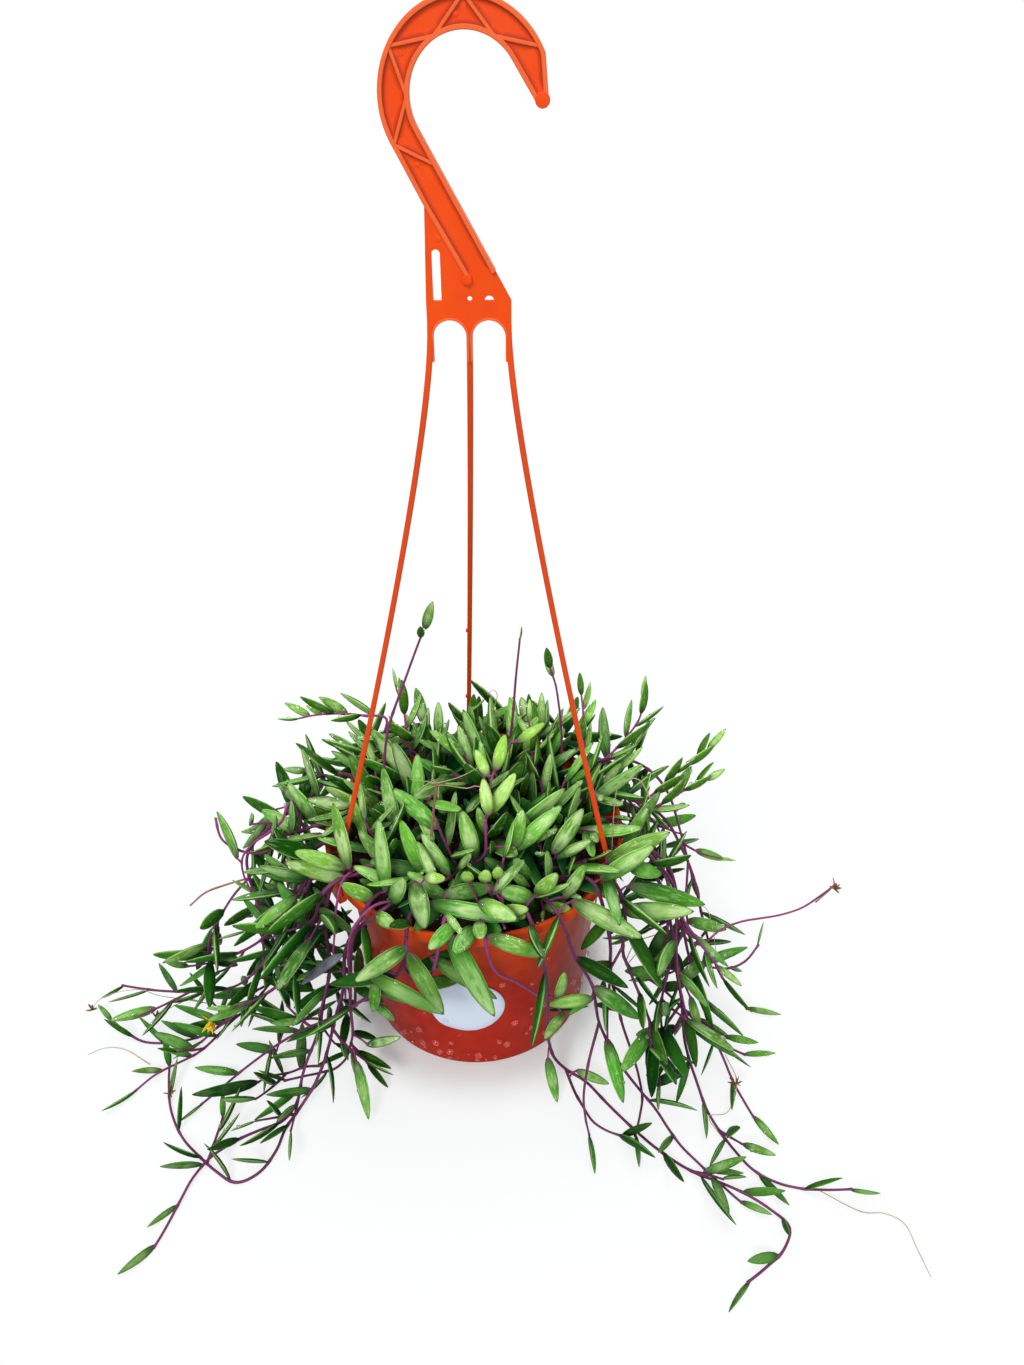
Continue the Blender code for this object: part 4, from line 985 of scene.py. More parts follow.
def opened(tangent, opening, angle):
    """The direction that leaves a stem at an opening angle, turned round it, and the way across."""
    side = unit(np.cross(tangent, (0.02, 0.0, 1.0)))
    across = side * math.cos(angle) + np.cross(side, tangent) * math.sin(angle)
    return tangent * math.cos(opening) + across * math.sin(opening), across


def anywhere(points):
    """Bounds that keep nothing out."""
    return True


def set_leaves(crowd, owner, path, sites, rng, look, bounds=anywhere):
    """Leaves at fractions of a path, a golden angle apart. Each is turned until it has room; one that
    finds none is left out. Later leaves are shorter, as they are younger."""
    leaves = []
    tangents = np.gradient(path, axis=0)
    turn = rng.uniform(0.0, 2 * math.pi)
    for order, site in enumerate(sites):
        base, k = spot_on(path, min(site, 0.995))
        tangent = unit(tangents[min(k + 1, len(path) - 1)])
        turn += math.radians(GOLDEN_ANGLE)
        newest = (order / max(len(sites) - 1, 1)) ** 2
        length = rng.uniform(*look["length"]) * (1.0 - look["shrink"] * newest)
        width = length * rng.uniform(*look["slim"])
        opening = math.radians(rng.uniform(*look["opening"])) * (0.35 if site > 0.985 else 1.0)
        bend = rng.uniform(*look["bend"])
        tone, roll = rng.uniform(), rng.normal(0.0, 0.35)
        youth = float(np.clip(look["youth"] + 0.35 * newest * look["fresh_tip"] + rng.normal(0, 0.06), 0, 1))
        for attempt in range(look["tries"]):
            direction, across = opened(tangent, opening, turn + attempt * RETRY_TURN)
            direction = unit(direction + UP * look["lift"])
            low = (width * 0.5 + 0.6 - base[2]) / length
            if direction[2] < low:
                direction[2] = low
                direction = unit(direction)
            # The grooved side faces back to the stem's tip and up.
            face = tangent * 0.8 - across * 0.5 + UP * 0.9
            spread = unit(np.cross(direction, face))
            face = np.cross(spread, direction)
            face = face * math.cos(roll) + spread * math.sin(roll)
            leaf = (base, direction, face, length, width, look["plump"], bend, tone, youth, look["shade"])
            points, radii = leaf_balls(leaf)
            if has_room(points, radii, crowd, look["squeeze"]) and bounds(points):
                crowd.add(points[1:], radii[1:], owner)
                leaves.append(leaf)
                break
            length, width, opening = length * 0.97, width * 0.97, min(opening + 0.07, 1.35)
    return leaves


def side_shoot(crowd, owner, path, site, rng, length, opening, rise, bounds):
    """A shoot that leaves its stem at an opening angle and bends up or down by rise on its way; it is
    turned round the stem until it has room, and is None if it finds none."""
    base, k = spot_on(path, site)
    tangent = unit(path[k + 1] - path[max(k - 1, 0)])
    turn = rng.uniform(0.0, 2 * math.pi)
    s = np.linspace(0.0, 1.0, max(4, int(length / 2.5)))[:, None]
    for attempt in range(SHOOT_TRIES):
        start = unit(opened(tangent, opening, turn + attempt * SHOOT_RETRY_TURN)[0])
        end = unit(start + UP * rise)
        shoot = base + length * (start * (s - s ** 2 / 2) + end * s ** 2 / 2)
        beyond = shoot[s[:, 0] * length > 3.5]
        radii = np.full(len(beyond), SHOOT_RADIUS)
        if len(beyond) and has_room(beyond, radii, crowd, -SHOOT_CLEAR, 0) and bounds(shoot):
            crowd.add(beyond, SHOOT_RADIUS * 0.9, owner)
            return shoot
    return None


def add_arms(crowd):
    """Fills the crowd with the hanger's arms and clips."""
    for start_x, azimuth in zip(ARM_STARTS, ARM_AZIMUTHS):
        crowd.add(fill(arm_path(start_x, azimuth, 9), 2.0), ARM_DEPTH / 2 + 0.5, 0)
        for z in np.arange(CLIP_BOTTOM, CLIP_TOP + 1.0, 2.0):
            for w in np.linspace(-CLIP_WIDTH / 2, CLIP_WIDTH / 2, 5):
                spot = polar(RIM_RADIUS + 1.5, azimuth, z) + polar(w, azimuth + 90.0, 0.0)
                crowd.add(spot[None], 1.6, 0)


# How the leaves of each kind of growth look: lengths, widths as shares of the length, opening angles
# in degrees and bends; then the upward lean, plumpness from slender 0 to plump 1, youth, how much
# younger the tip is, shade, how much shorter the tip's leaves are, how far they may press into
# others, and the tries at finding room.
LOOK_FIELDS = ("length", "slim", "opening", "bend", "lift", "plump", "youth", "fresh_tip", "shade", "shrink",
               "squeeze", "tries")
LOOKS = {kind: dict(zip(LOOK_FIELDS, values)) for kind, *values in (
    ("crown", (28, 40), (0.215, 0.275), (24, 74), (-0.12, 0.15), 0.26, 0.62, 0.08, 0.5, 0.0, 0.35, 0.6, 14),
    ("skirt", (22, 31), (0.25, 0.32), (60, 100), (-0.2, 0.05), -0.05, 0.7, 0.1, 0.2, 0.2, 0.1, 0.6, 16),
    ("young", (18, 25), (0.28, 0.36), (28, 52), (0.0, 0.15), 0.3, 0.5, 0.85, 0.5, 0.0, 0.4, 0.6, 14),
    ("collar", (26, 36), (0.22, 0.28), (28, 72), (-0.14, 0.14), 0.22, 0.6, 0.1, 0.4, 0.25, 0.2, 0.5, 12),
    ("vine", (26, 37), (0.195, 0.255), (30, 68), (-0.16, 0.14), 0.0, 0.45, 0.08, 0.4, 0.5, 0.25, 0.4, 10),
    ("trail", (24, 34), (0.175, 0.235), (22, 58), (-0.14, 0.14), 0.05, 0.35, 0.12, 0.5, 0.5, 0.4, 0.35, 10),
    ("shoot", (19, 29), (0.2, 0.26), (25, 55), (-0.1, 0.14), 0.08, 0.45, 0.18, 0.6, 0.35, 0.35, 0.4, 10),
    ("sprig", (16, 23), (0.25, 0.33), (22, 42), (0.0, 0.15), 0.25, 0.45, 0.3, 0.5, 0.1, 0.35, 0.5, 12),
    ("bud", (14, 17), (0.3, 0.36), (14, 28), (0.0, 0.1), 0.4, 0.4, 0.25, 0.0, 0.3, 0.1, 0.4, 8),
)}
# How far the crown reaches at each azimuth.
CROWN_REACH = ((-180, 106), (-140, 100), (-110, 86), (-70, 86), (-40, 104), (0, 124), (30, 128), (60, 112),
               (90, 98), (140, 106), (180, 106))
DOME_TOP, DOME_DROP = 170.0, 40.0
# A stretch of the rim stays bare: its azimuths, half the width of its band, the least height over it
# that counts, and the rise over the run of the way that it is kept open along, with its drift in x.
BARE_RIM, BARE_BAND, BARE_FROM, BARE_SLOPE, BARE_DRIFT = (-156.0, -124.0), 7.0, 100.0, 1.1, 0.15
# Leaves that stand out, set before the rest: foot, point, width and youth from 0 to 1.
SINGLE_LEAVES = (
    ((-26, -82, 118), (-11, -84, 79), 9.0, 0.3), ((-18, -80, 110), (12, -80, 80), 7.5, 0.4),
    ((-45, -84, 105), (-11, -86, 79), 8.5, 0.4), ((-43, -80, 88), (-20, -80, 76), 7.0, 0.1),
    ((-9, -80, 125), (11, -92, 83), 10.0, 0.15), ((8, -82, 126), (34, -84, 115), 7.5, 0.45),
    ((-27, -84, 122), (-52, -88, 103), 8.0, 0.2), ((-43, -82, 96), (-47, -81, 72), 6.5, 0.2),
    ((-46, -74, 69), (-39, -72, 53), 6.0, 0.0), ((-54, -72, 34), (-36, -74, 43), 5.0, 0.0),
    ((-60, -74, 24), (-53, -94, 4), 7.0, 0.1), ((41, -74, 72), (43, -77, 96), 6.0, 0.4),
    ((58, -73, 71), (36, -78, 73), 6.5, 0.6), ((44, -74, 62), (35, -77, 45), 6.0, 0.5),
    ((37, -72, 23), (42, -85, 4), 6.0, 0.1), ((52, -72, 12), (69, -76, 6), 5.0, 0.2),
    ((58, -70, 76), (82, -72, 54), 8.0, 0.0), ((65, -74, 42), (74, -88, 9), 8.0, 0.0),
    ((-24, -66, 144), (-20, -77, 125), 9.5, 0.2), ((-18, -66, 131), (24, -70, 125), 8.0, 0.0),
    ((4, -69, 135), (21, -75, 131), 8.0, 0.35), ((29, -63, 129), (12, -64, 137), 8.0, 0.3),
    ((-12, -64, 133), (12, -60, 134), 8.0, 0.2), ((-1, -62, 139), (-1, -65, 149), 6.0, 0.9),
    ((6, -62, 139), (8, -64, 149), 6.0, 0.9), ((12, -61, 140), (13, -63, 150), 5.0, 0.9),
    ((-20, -67, 147), (-10, -71, 151), 5.0, 0.9), ((30, -64, 133), (39, -66, 149), 7.5, 0.6),
    ((-43, -68, 124), (-33, -76, 127), 7.0, 0.4), ((-6, -70, 124), (-17, -81, 121), 7.0, 0.1),
    ((4, -72, 127), (5, -81, 126), 6.5, 0.4), ((6, -69, 119), (14, -74, 121), 8.0, 0.0),
    ((2, -70, 121), (-7, -82, 119), 8.0, 0.1), ((-44, -60, 126), (-57, -61, 138), 8.0, 0.4),
    ((43, -58, 124), (53, -48, 136), 7.0, 0.3), ((50, -46, 121), (68, -60, 117), 9.0, 0.3),
    ((-37, -62, 126), (-28, -69, 149), 8.0, 0.2), ((-58, -46, 132), (-83, -41, 138), 8.0, 0.45),
    ((-58, -49, 127), (-88, -42, 132), 8.0, 0.5), ((-55, -49, 134), (-62, -29, 158), 8.0, 0.35),
    ((-39, -58, 128), (-42, -40, 158), 8.0, 0.15), ((-35, -31, 138), (-43, -8, 162), 8.0, 0.1),
    ((63, -43, 132), (94, -33, 142), 9.0, 0.45), ((40, -52, 130), (57, -40, 138), 8.0, 0.5),
    ((20, -43, 140), (43, -25, 152), 8.0, 0.2), ((20, -43, 140), (24, -34, 158), 7.0, 0.3),
    ((38, -43, 138), (53, -27, 152), 8.0, 0.15), ((2, -46, 138), (-4, -37, 160), 8.0, 0.3),
    ((8, -23, 168), (2, -10, 174), 5.5, 0.9), ((11, -20, 168), (15, -4, 176), 6.0, 0.9),
    ((8, -37, 156), (5, -25, 168), 6.0, 0.9), ((9, -35, 156), (21, -20, 168), 7.0, 0.9),
    ((21, -4, 172), (34, 10, 172), 5.0, 0.9), ((-118, -20, 112), (-130, -2, 128), 7.0, 0.1),
    ((71, -50, 107), (107, -48, 104), 9.0, 0.4), ((46, -62, 127), (80, -66, 106), 9.0, 0.3),
    ((75, -38, 124), (91, -40, 121), 8.0, 0.3), ((60, -50, 128), (85, -44, 144), 9.0, 0.2),
    ((73, -44, 118), (112, -38, 98), 9.0, 0.1), ((84, -30, 89), (112, -26, 117), 8.0, 0.2),
    ((72, -42, 122), (104, -30, 112), 8.5, 0.15), ((80, -26, 112), (114, -24, 92), 8.5, 0.05),
)
# Shoots that stand out: their line, the look of their leaves, and where along them leaves begin.
SINGLE_SHOOTS = (
    ([(6, -44, 138), (7, -39, 155), (10, -23, 168), (17, -6, 172), (27, 4, 172)], None, 1.0),
    ([(-47, 45, 150), (-59, 46, 152), (-71, 48, 152), (-85, 51, 149), (-96, 53, 145)], "sprig", 0.4),
    ([(-35, 37, 145), (-38, 47, 156), (-42, 54, 164)], "sprig", 0.3),
    ([(68, 24, 140), (78, 32, 146), (86, 39, 154), (89, 48, 160)], "sprig", 0.3),
    ([(85, -5, 128), (96, -3, 134), (108, 3, 138), (118, 7, 140)], "sprig", 0.2),
    ([(85, 1, 130), (95, 6, 136), (105, 13, 142), (114, 17, 146), (120, 21, 149)], "sprig", 0.2),
    ([(57, 28, 142), (57, 40, 155), (56, 48, 164)], "sprig", 0.3),
    ([(36, 3, 130), (30, 12, 150), (28, 22, 166)], "sprig", 0.3),
    ([(-46, -46, 134), (-49, -47, 132), (-61, -46, 126), (-66, -38, 128)], None, 1.0),
    ([(-47, -45, 133), (-58, -50, 131), (-62, -58, 122), (-64, -64, 106), (-66, -64, 92)], None, 1.0),
    ([(-33, -61, 127), (-44, -66, 128), (-53, -72, 120), (-57, -72, 102), (-58, -70, 88)], None, 1.0),
    ([(-90, -9, 140), (-93, -18, 136), (-100, -20, 130), (-108, -21, 124), (-115, -21, 114),
      (-115, -24, 104), (-110, -29, 94)], None, 1.0),
)
# Vines that hang in front of the pot carry their leaves far apart: a factor on the spacing. Two more
# are bare; the leaves near them are single ones.
BARE_VINES = ("vine_front_1", "vine_front_2")
WIDE_SPACING = {"vine_right_1": 4.0, "vine_right_2": 4.6, "vine_left_1": 1.9, "vine_left_2": 1.7,
                "vine_left_10": 2.2, "vine_right_7": 6.0, "vine_right_6": 1.5, "vine_left_3": 1.3,
                "vine_left_6": 1.2, "vine_right_4": 1.6, "vine_right_3": 1.5, "vine_right_5": 1.3,
                "vine_right_8": 1.35, "vine_right_9": 1.3}
# The outline of the hanging growth: the least and the greatest x at each height, its top at each
# reach, how far back it goes, and two bare places, each as least and greatest x, y and z: the label
# and the surface in front of the pot on the right.
OUTLINE_Z = (0.0, 50.0, 70.0, 90.0, 110.0, 130.0, 150.0)
OUTLINE_LEFT = (-216.0, -188.0, -150.0, -132.0, -118.0, -104.0, -98.0)
OUTLINE_RIGHT = (198.0, 160.0, 130.0, 105.0, 96.0, 101.0, 116.0)
SHOULDER_REACH, SHOULDER_TOP = (0.0, 80.0, 110.0, 130.0), (172.0, 158.0, 148.0, 132.0)
OUTLINE_BACK = 126.0
BARE_PLACES = (((-27.0, -math.inf, 34.0), (19.0, -60.0, 74.0)),
               ((16.0, -100.0, -math.inf), (88.0, -52.0, 46.0)))


def dome_height(points):
    """The height of the crown's outline over points, and their reach as a share of its edge, which
    depends on the azimuth. The dome falls from its top by a drop times the share squared."""
    azimuth = np.degrees(np.arctan2(points[:, 1], points[:, 0]))
    share = np.hypot(points[:, 0], points[:, 1]) / np.interp(azimuth, *zip(*CROWN_REACH))
    return DOME_TOP - DOME_DROP * share ** 2, share


def over_bare_rim(points):
    """True if any point lies on or over the stretch of the rim at the front left that stays bare: each
    point is slid down, and back about as far as it goes down, to the height of the rim."""
    drop = (points[:, 2] - POT_HEIGHT) / BARE_SLOPE
    x, y = points[:, 0] - BARE_DRIFT * drop, points[:, 1] + drop
    azimuth, reach = np.degrees(np.arctan2(y, x)), np.hypot(x, y)
    return ((azimuth > BARE_RIM[0]) & (azimuth < BARE_RIM[1]) & (abs(reach - RIM_RADIUS) < BARE_BAND)
            & (points[:, 2] > BARE_FROM)).any()


def within_crown(points):
    """True if points keep in the crown's outline."""
    height, share = dome_height(points)
    return (share < 1.0).all() and (points[:, 2] < height).all() and not over_bare_rim(points)


def within_outline(points):
    """True if points keep in the outline of the hanging growth and out of its bare places."""
    for low, high in BARE_PLACES:
        if ((points > low) & (points < high)).all(axis=1).any():
            return False
    x, y, z = points.T
    inside = ((x > np.interp(z, OUTLINE_Z, OUTLINE_LEFT)) & (x < np.interp(z, OUTLINE_Z, OUTLINE_RIGHT))
              & (z < np.interp(np.hypot(x, y), SHOULDER_REACH, SHOULDER_TOP)) & (y < OUTLINE_BACK))
    return inside.all() and not over_bare_rim(points)


def sunk(leaves):
    """The same leaves, more shaded the deeper their highest end lies under the crown's outline."""
    deeper = []
    for leaf in leaves:
        ends = np.array([leaf[0], leaf[0] + leaf[1] * leaf[3]])
        depth = (dome_height(ends)[0] - ends[:, 2]).min()
        deeper.append((*leaf[:-1], float(np.clip(leaf[-1] + (depth - 4.0) / 24.0, 0.0, 0.95))))
    return deeper


def leafy(crowd, owner, path, rng, look, first, spacing, bounds=anywhere):
    """Leaves along a path from a first place onwards, so many millimetres apart, the last at the tip."""
    count = max(2, int(run_along(path)[-1] * (1.0 - first) / spacing) + 1)
    sites = np.linspace(first, 1.0, count)
    return sites, set_leaves(crowd, owner, path, sites, rng, look, bounds)


def nearest_stem(spot, curves):
    """The owner, the point and the distance of the stem that passes nearest to a spot."""
    found = [(np.linalg.norm(curve - spot, axis=1), owner, curve) for owner, curve in curves]
    apart, owner, curve = min(found, key=lambda item: item[0].min())
    return owner, curve[apart.argmin()], apart.min()


def single_leaf(crowd, owner, foot, point, width, youth, rng):
    """A leaf from its foot to its point, bowed a little; it moves out from the pot until it has room."""
    outward = unit(np.array((foot[0], foot[1], 40.0)))
    for shift in np.arange(0.0, 9.1, 1.5):
        base, tip = foot + outward * shift * 0.6, point + outward * shift
        chord = tip - base
        length, bend = np.linalg.norm(chord), rng.uniform(-0.12, 0.1)
        spread = unit(np.cross(chord, outward + (0.0, -0.25, 0.35)))
        upper = np.cross(spread, unit(chord))
        leaf = (base, unit(unit(chord) - upper * bend), upper, length / math.hypot(1.0, bend), width, 0.5,
                bend, rng.uniform(), youth, 0.15)
        points, radii = leaf_balls(leaf)
        if has_room(points, radii, crowd, 0.5):
            crowd.add(points[1:], radii[1:], owner)
            return leaf
    return None


def clothe_singles(crowd, curves, rng):
    """The single leaves and shoots, sorted by the stem that each grows from. One that starts away
    from every stem is joined to the nearest by a short curved stalk."""
    stems, leaves = {}, {}
    joints = list(curves)
    for line, look, first in SINGLE_SHOOTS:
        owner, start, apart = nearest_stem(np.array(line[0], float), curves)
        path = resample([start, *line] if apart > 3.0 else line, CURVE_STEP)
        crowd.add(fill(path)[2:], SHOOT_RADIUS, owner)
        grown = leafy(crowd, owner, path, rng, LOOKS[look], first, 6.5)[1] if look else []
        stems.setdefault(owner, []).append((path, SHOOT_RADIUS, (0.45, 0.75), 0.1))
        leaves.setdefault(owner, []).extend(grown)
        joints.append((owner, path))
    for foot, point, width, youth in SINGLE_LEAVES:
        foot, point = np.array(foot, float), np.array(point, float)
        owner, start, apart = nearest_stem(foot, joints)
        leaf = single_leaf(crowd, owner, foot, point, width, youth, rng)
        if leaf is None:
            continue
        if apart > 1.5:
            arch = (start + leaf[0]) / 2 + UP * (0.15 * apart)
            stalk = resample([start, arch, leaf[0] + leaf[1] * 0.8], 1.6)
            stems.setdefault(owner, []).append((stalk, SHOOT_RADIUS * 0.8, (0.9,), 0.2))
        leaves.setdefault(owner, []).append(leaf)
    return stems, leaves


# The zones of a vine, from the rim outwards: the look of its leaves, how far apart leaves and side
# shoots stand, and the shoots' lengths; then how long the first is, and where the last one starts.
VINE_ZONES = (("collar", 8.0, 18.0, (12, 22)), ("vine", 14.0, 32.0, (16, 30)),
              ("trail", 15.0, 40.0, (16, 28)))
COLLAR_LENGTH, TRAIL_FROM = 30.0, 110.0


def clothe_vine(crowd, owner, name, curves, rng):
    """Stems and leaves of a trailing vine. Close to the rim it carries crown-like leaves and shoots;
    further down the leaves get smaller and stand further apart. Lower growth is more shaded."""
    if name in BARE_VINES:
        return [(curve, radius, (0.35, 0.8), 0.0) for curve, radius in curves], []
    stems, leaves = [], []
    for order, (curve, radius) in enumerate(curves):
        reach = np.hypot(curve[:, 0], curve[:, 1])
        length = len(curve) * CURVE_STEP
        start = np.argmax(reach > RIM_RADIUS + 2.0) * CURVE_STEP if order == 0 else length * 0.35
        shaded = 0.75 - 0.45 * float(np.clip(curve[:, 2].mean() / 120.0, 0.0, 1.0))
        limits = (start, start + COLLAR_LENGTH, TRAIL_FROM, length)
        joints = []
        for low, high, (kind, spacing, apart, reaches) in zip(limits, limits[1:], VINE_ZONES):
            wide = min(WIDE_SPACING.get(name, 1.0), 1.35 if kind == "trail" else 9.0)
            low, high = max(low, start), min(high, length)
            if high <= low:
                continue
            look = {**LOOKS[kind], "shade": shaded * (0.6 if kind == "collar" else 1.0)}
            small = look if kind == "collar" else {**LOOKS["shoot"], "shade": shaded * 0.8}
            here = low + apart * wide * rng.uniform(0.2, 0.8)
            while here < min(high, length * 0.85) and (wide < 2.0 or kind == "trail"):
                shoot = side_shoot(crowd, owner, curve, here / length, rng, rng.uniform(*reaches),
                                   math.radians(rng.uniform(28, 62)), rng.uniform(-0.4, 0.7), within_outline)
                if shoot is not None:
                    sites, grown = leafy(crowd, owner, shoot, rng, small, 0.35, 7.0, within_outline)
                    stems.append((shoot, SHOOT_RADIUS, sites, shaded))
                    joints.append(here / length)
                    leaves += grown
                here += apart * wide * rng.uniform(0.75, 1.25)
            last = high == length
            count = max(1, int((high - low) / (spacing * wide))) + last
            sites = list(np.linspace(low / length, high / length, count, endpoint=last))
            leaves += set_leaves(crowd, owner, curve, sites, rng, look, within_outline)
            joints += sites
        stems.append((curve, radius, joints, shaded))
    return stems, leaves


def clothe_crown(crowd, owner, name, curves, rng):
    """A crown stem with more shoots from the same root round it, each densely leaved, in the outline
    of the crown. Outer stems also carry low leaves that lie out over the soil and the rim."""
    curve = curves[0][0]
    stems, leaves = [(curve, STEM_RADIUS, (0.4, 0.7), 0.2)], []
    for _ in range(6):
        look = LOOKS["young"] if rng.uniform() < 0.14 else LOOKS["crown"]
        shoot = side_shoot(crowd, owner, curve, rng.uniform(0.2, 0.85), rng, rng.uniform(14.0, 34.0),
                           math.radians(rng.uniform(30, 80)), rng.uniform(0.0, 0.9), within_crown)
        if shoot is not None:
            sites, grown = leafy(crowd, owner, shoot, rng, look, 0.3, 5.0, within_crown)
            stems.append((shoot, SHOOT_RADIUS, sites, 0.2))
            leaves += grown
    leaves += leafy(crowd, owner, curve, rng, LOOKS["crown"], 0.35, 5.0, within_crown)[1]
    if np.hypot(*curve[0, :2]) > 36.0:
        sites = np.linspace(0.15, 0.6, 7)
        leaves += set_leaves(crowd, owner, curve, sites, rng, LOOKS["skirt"], within_crown)
    return stems, sunk(leaves)


# What closes a stalk's tip: the places of its last leaves, and how they differ from a bud's look.
STALK_TIPS = {"tall_bud_stalk": ((0.96, 1.0), {}), "leafy_stalk": ((0.93, 0.99), {}),
              "small_bud_stalk": ((1.0,), {"length": (7, 8), "youth": 0.0})}


def clothe_stalk(crowd, owner, name, curves, rng):
    """A thin bare stalk; small leaves or a bud close its tip, or nothing does."""
    curve, leaves = curves[0][0], []
    if name in STALK_TIPS:
        places, changes = STALK_TIPS[name]
        leaves = set_leaves(crowd, owner, curve, places, rng, {**LOOKS["bud"], **changes})
    return [(curve, STEM_RADIUS * 0.85, (0.3, 0.62), 0.6)], leaves


# How much light the growth keeps off: the size of a cell of space, how thickly growth dims light, how
# far it is looked for, and the ways it is looked for along, from above and in front.
COVER_CELL, COVER_DIMS, COVER_FROM, COVER_TO = 4.0, 0.55, 6.0, 42.0
COVER_WAYS = ((0.0, 0.0, 1.0), (-0.31, -0.65, 0.69), (0.1, -0.62, 0.78), (-0.6, -0.1, 0.79),
              (0.6, -0.1, 0.79))


def growth_grid(crowd):
    """How much growth each small cube of space holds, evened out over its neighbours, with the low
    corner of the grid. A ball holds 4.19 times its radius cubed."""
    low = crowd.points.min(axis=0) - 3 * COVER_CELL
    shape = np.ceil((crowd.points.max(axis=0) + 3 * COVER_CELL - low) / COVER_CELL).astype(int)
    cells = np.ravel_multi_index(((crowd.points - low) / COVER_CELL).astype(int).T, shape)
    held = np.bincount(cells, 4.19 * crowd.radii ** 3, shape.prod()).reshape(shape) / COVER_CELL ** 3
    for axis in range(3):
        held = (2 * held + np.roll(held, 1, axis) + np.roll(held, -1, axis)) / 4
    return low, held


def covered(points, grid):
    """The share of light from above and in front that the growth over each point keeps off: one minus
    the mean over several ways out of e to the power of minus the growth met on that way."""
    low, held = grid
    open_share = np.zeros(len(points))
    for way in COVER_WAYS:
        met = np.zeros(len(points))
        for step in np.arange(COVER_FROM, COVER_TO, COVER_CELL):
            cells = ((points + np.array(way) * step - low) / COVER_CELL).astype(int)
            inside = ((cells >= 0) & (cells < held.shape)).all(axis=1)
            met[inside] += held[tuple(cells[inside].T)]
        open_share += np.exp(-COVER_DIMS * met) / len(COVER_WAYS)
    return 1.0 - open_share


def waxy_leaf():
    """A succulent leaf's waxy skin: mid green, yellower when young, with fine pale streaks and a paler rim.
    Painted shade makes it bluer and darker where it is shaded, dark on its underside and darker towards
    its foot; a painted highlight lays broader pale bands along its upper face. Its point and foot are
    purple. Cells of 1.2 mm and waves of 3.2 mm dimple the skin, and a bloom 3 mm wide dulls it in patches."""
    made, tree = new_material("waxy_succulent_leaf")
    place = add_node(tree, "TexCoord", out="Object")
    along, facing, tone, youth, shade = (add_node(tree, "Attribute", out="Fac", attribute_name=mark)
                                         for mark in MARKS)
    # Noise drawn out along the leaf: how fast it changes along it, across it and from leaf to leaf.
    drawn_out = []
    for speeds, detail, coarse in (((7.0, 8.0, 90.0), 5.0, 0.5), ((2.2, 1.6, 40.0), 6.0, 0.6)):
        spread = {axis: add_node(tree, "Math", {0: mark, 1: speed}, operation="MULTIPLY")
                  for axis, (mark, speed) in enumerate(zip((along, facing, tone), speeds))}
        vector = add_node(tree, "CombineXYZ", spread)
        drawn_out.append(add_node(tree, "TexNoise", {"Vector": vector, "Scale": 1.0, "Detail": detail,
                                                     "Roughness": coarse}))
    streak, band = drawn_out
    edge = add_node(tree, "Math", {0: facing}, operation="ABSOLUTE")
    bloom = add_node(tree, "TexNoise", {"Vector": place, "Scale": 1 / 0.003, "Detail": 5.0})
    # Smooth steps of a value from one level to another, as shares from a least to a most.
    calm, streaked, upper, banded, rim, under, foot, point, base, rough = (
        add_node(tree, "MapRange", {"Value": value, "From Min": low, "From Max": high, "To Min": least,
                                    "To Max": most}, interpolation_type="SMOOTHSTEP")
        for value, low, high, least, most in (
            (shade, 0.1, 0.7, 1.0, 0.3), (streak, 0.5, 0.72, 0.0, 0.5), (facing, 0.3, 0.95, 0.0, 1.0),
            (band, 0.38, 0.66, 0.04, 0.6), (edge, 0.3, 0.04, 0.0, 0.62), (facing, -0.05, -0.5, 0.0, 0.6),
            (along, 0.4, 0.05, 0.0, 0.7), (along, 0.93, 0.995, 0.0, 0.85), (along, 0.1, 0.0, 0.0, 0.75),
            (bloom, 0.3, 0.7, 0.3, 0.5)))
    streaked, banded = (add_node(tree, "Math", {0: share, 1: calm}, operation="MULTIPLY") for share in (
        streaked, add_node(tree, "Math", {0: upper, 1: banded}, operation="MULTIPLY")))
    green, shaded, bright = (
        add_node(tree, "Mix", {0: share, 6: linear(first), 7: linear(second)}, 2, data_type="RGBA")
        for share, first, second in ((tone, "066404", "4cb41c"), (tone, "04280e", "12582a"),
                                     (shade, "e8feba", "3e864c")))
    # Painted shade comes from the shade mark, the underside and the foot; a painted highlight comes from the
    # pale bands on the upper face.
    for share, over in ((youth, linear("9cd842")), (shade, shaded), (streaked, bright), (banded, bright),
                        (rim, bright), (under, linear("053006")), (foot, linear("022806")),
                        (point, linear("4a1c38")), (base, linear("6e2f5e"))):
        green = add_node(tree, "Mix", {0: share, 6: green, 7: over}, 2, data_type="RGBA")
    cells = add_node(tree, "TexVoronoi", {"Vector": place, "Scale": 1 / 0.0012}, "Distance",
                     feature="SMOOTH_F1")
    waves = add_node(tree, "TexNoise", {"Vector": place, "Scale": 1 / 0.0032, "Detail": 2.0})
    height = add_node(tree, "Math", {0: waves, 1: cells}, operation="ADD")
    bump = add_node(tree, "Bump", {"Height": height, "Strength": 0.5, "Distance": 0.0004})
    skin = add_node(tree, "BsdfPrincipled", {"Base Color": green, "Roughness": rough, "Normal": bump,
                                             "IOR": 1.45, "Specular IOR Level": 0.03})
    add_node(tree, "OutputMaterial", {"Surface": skin})
    return made


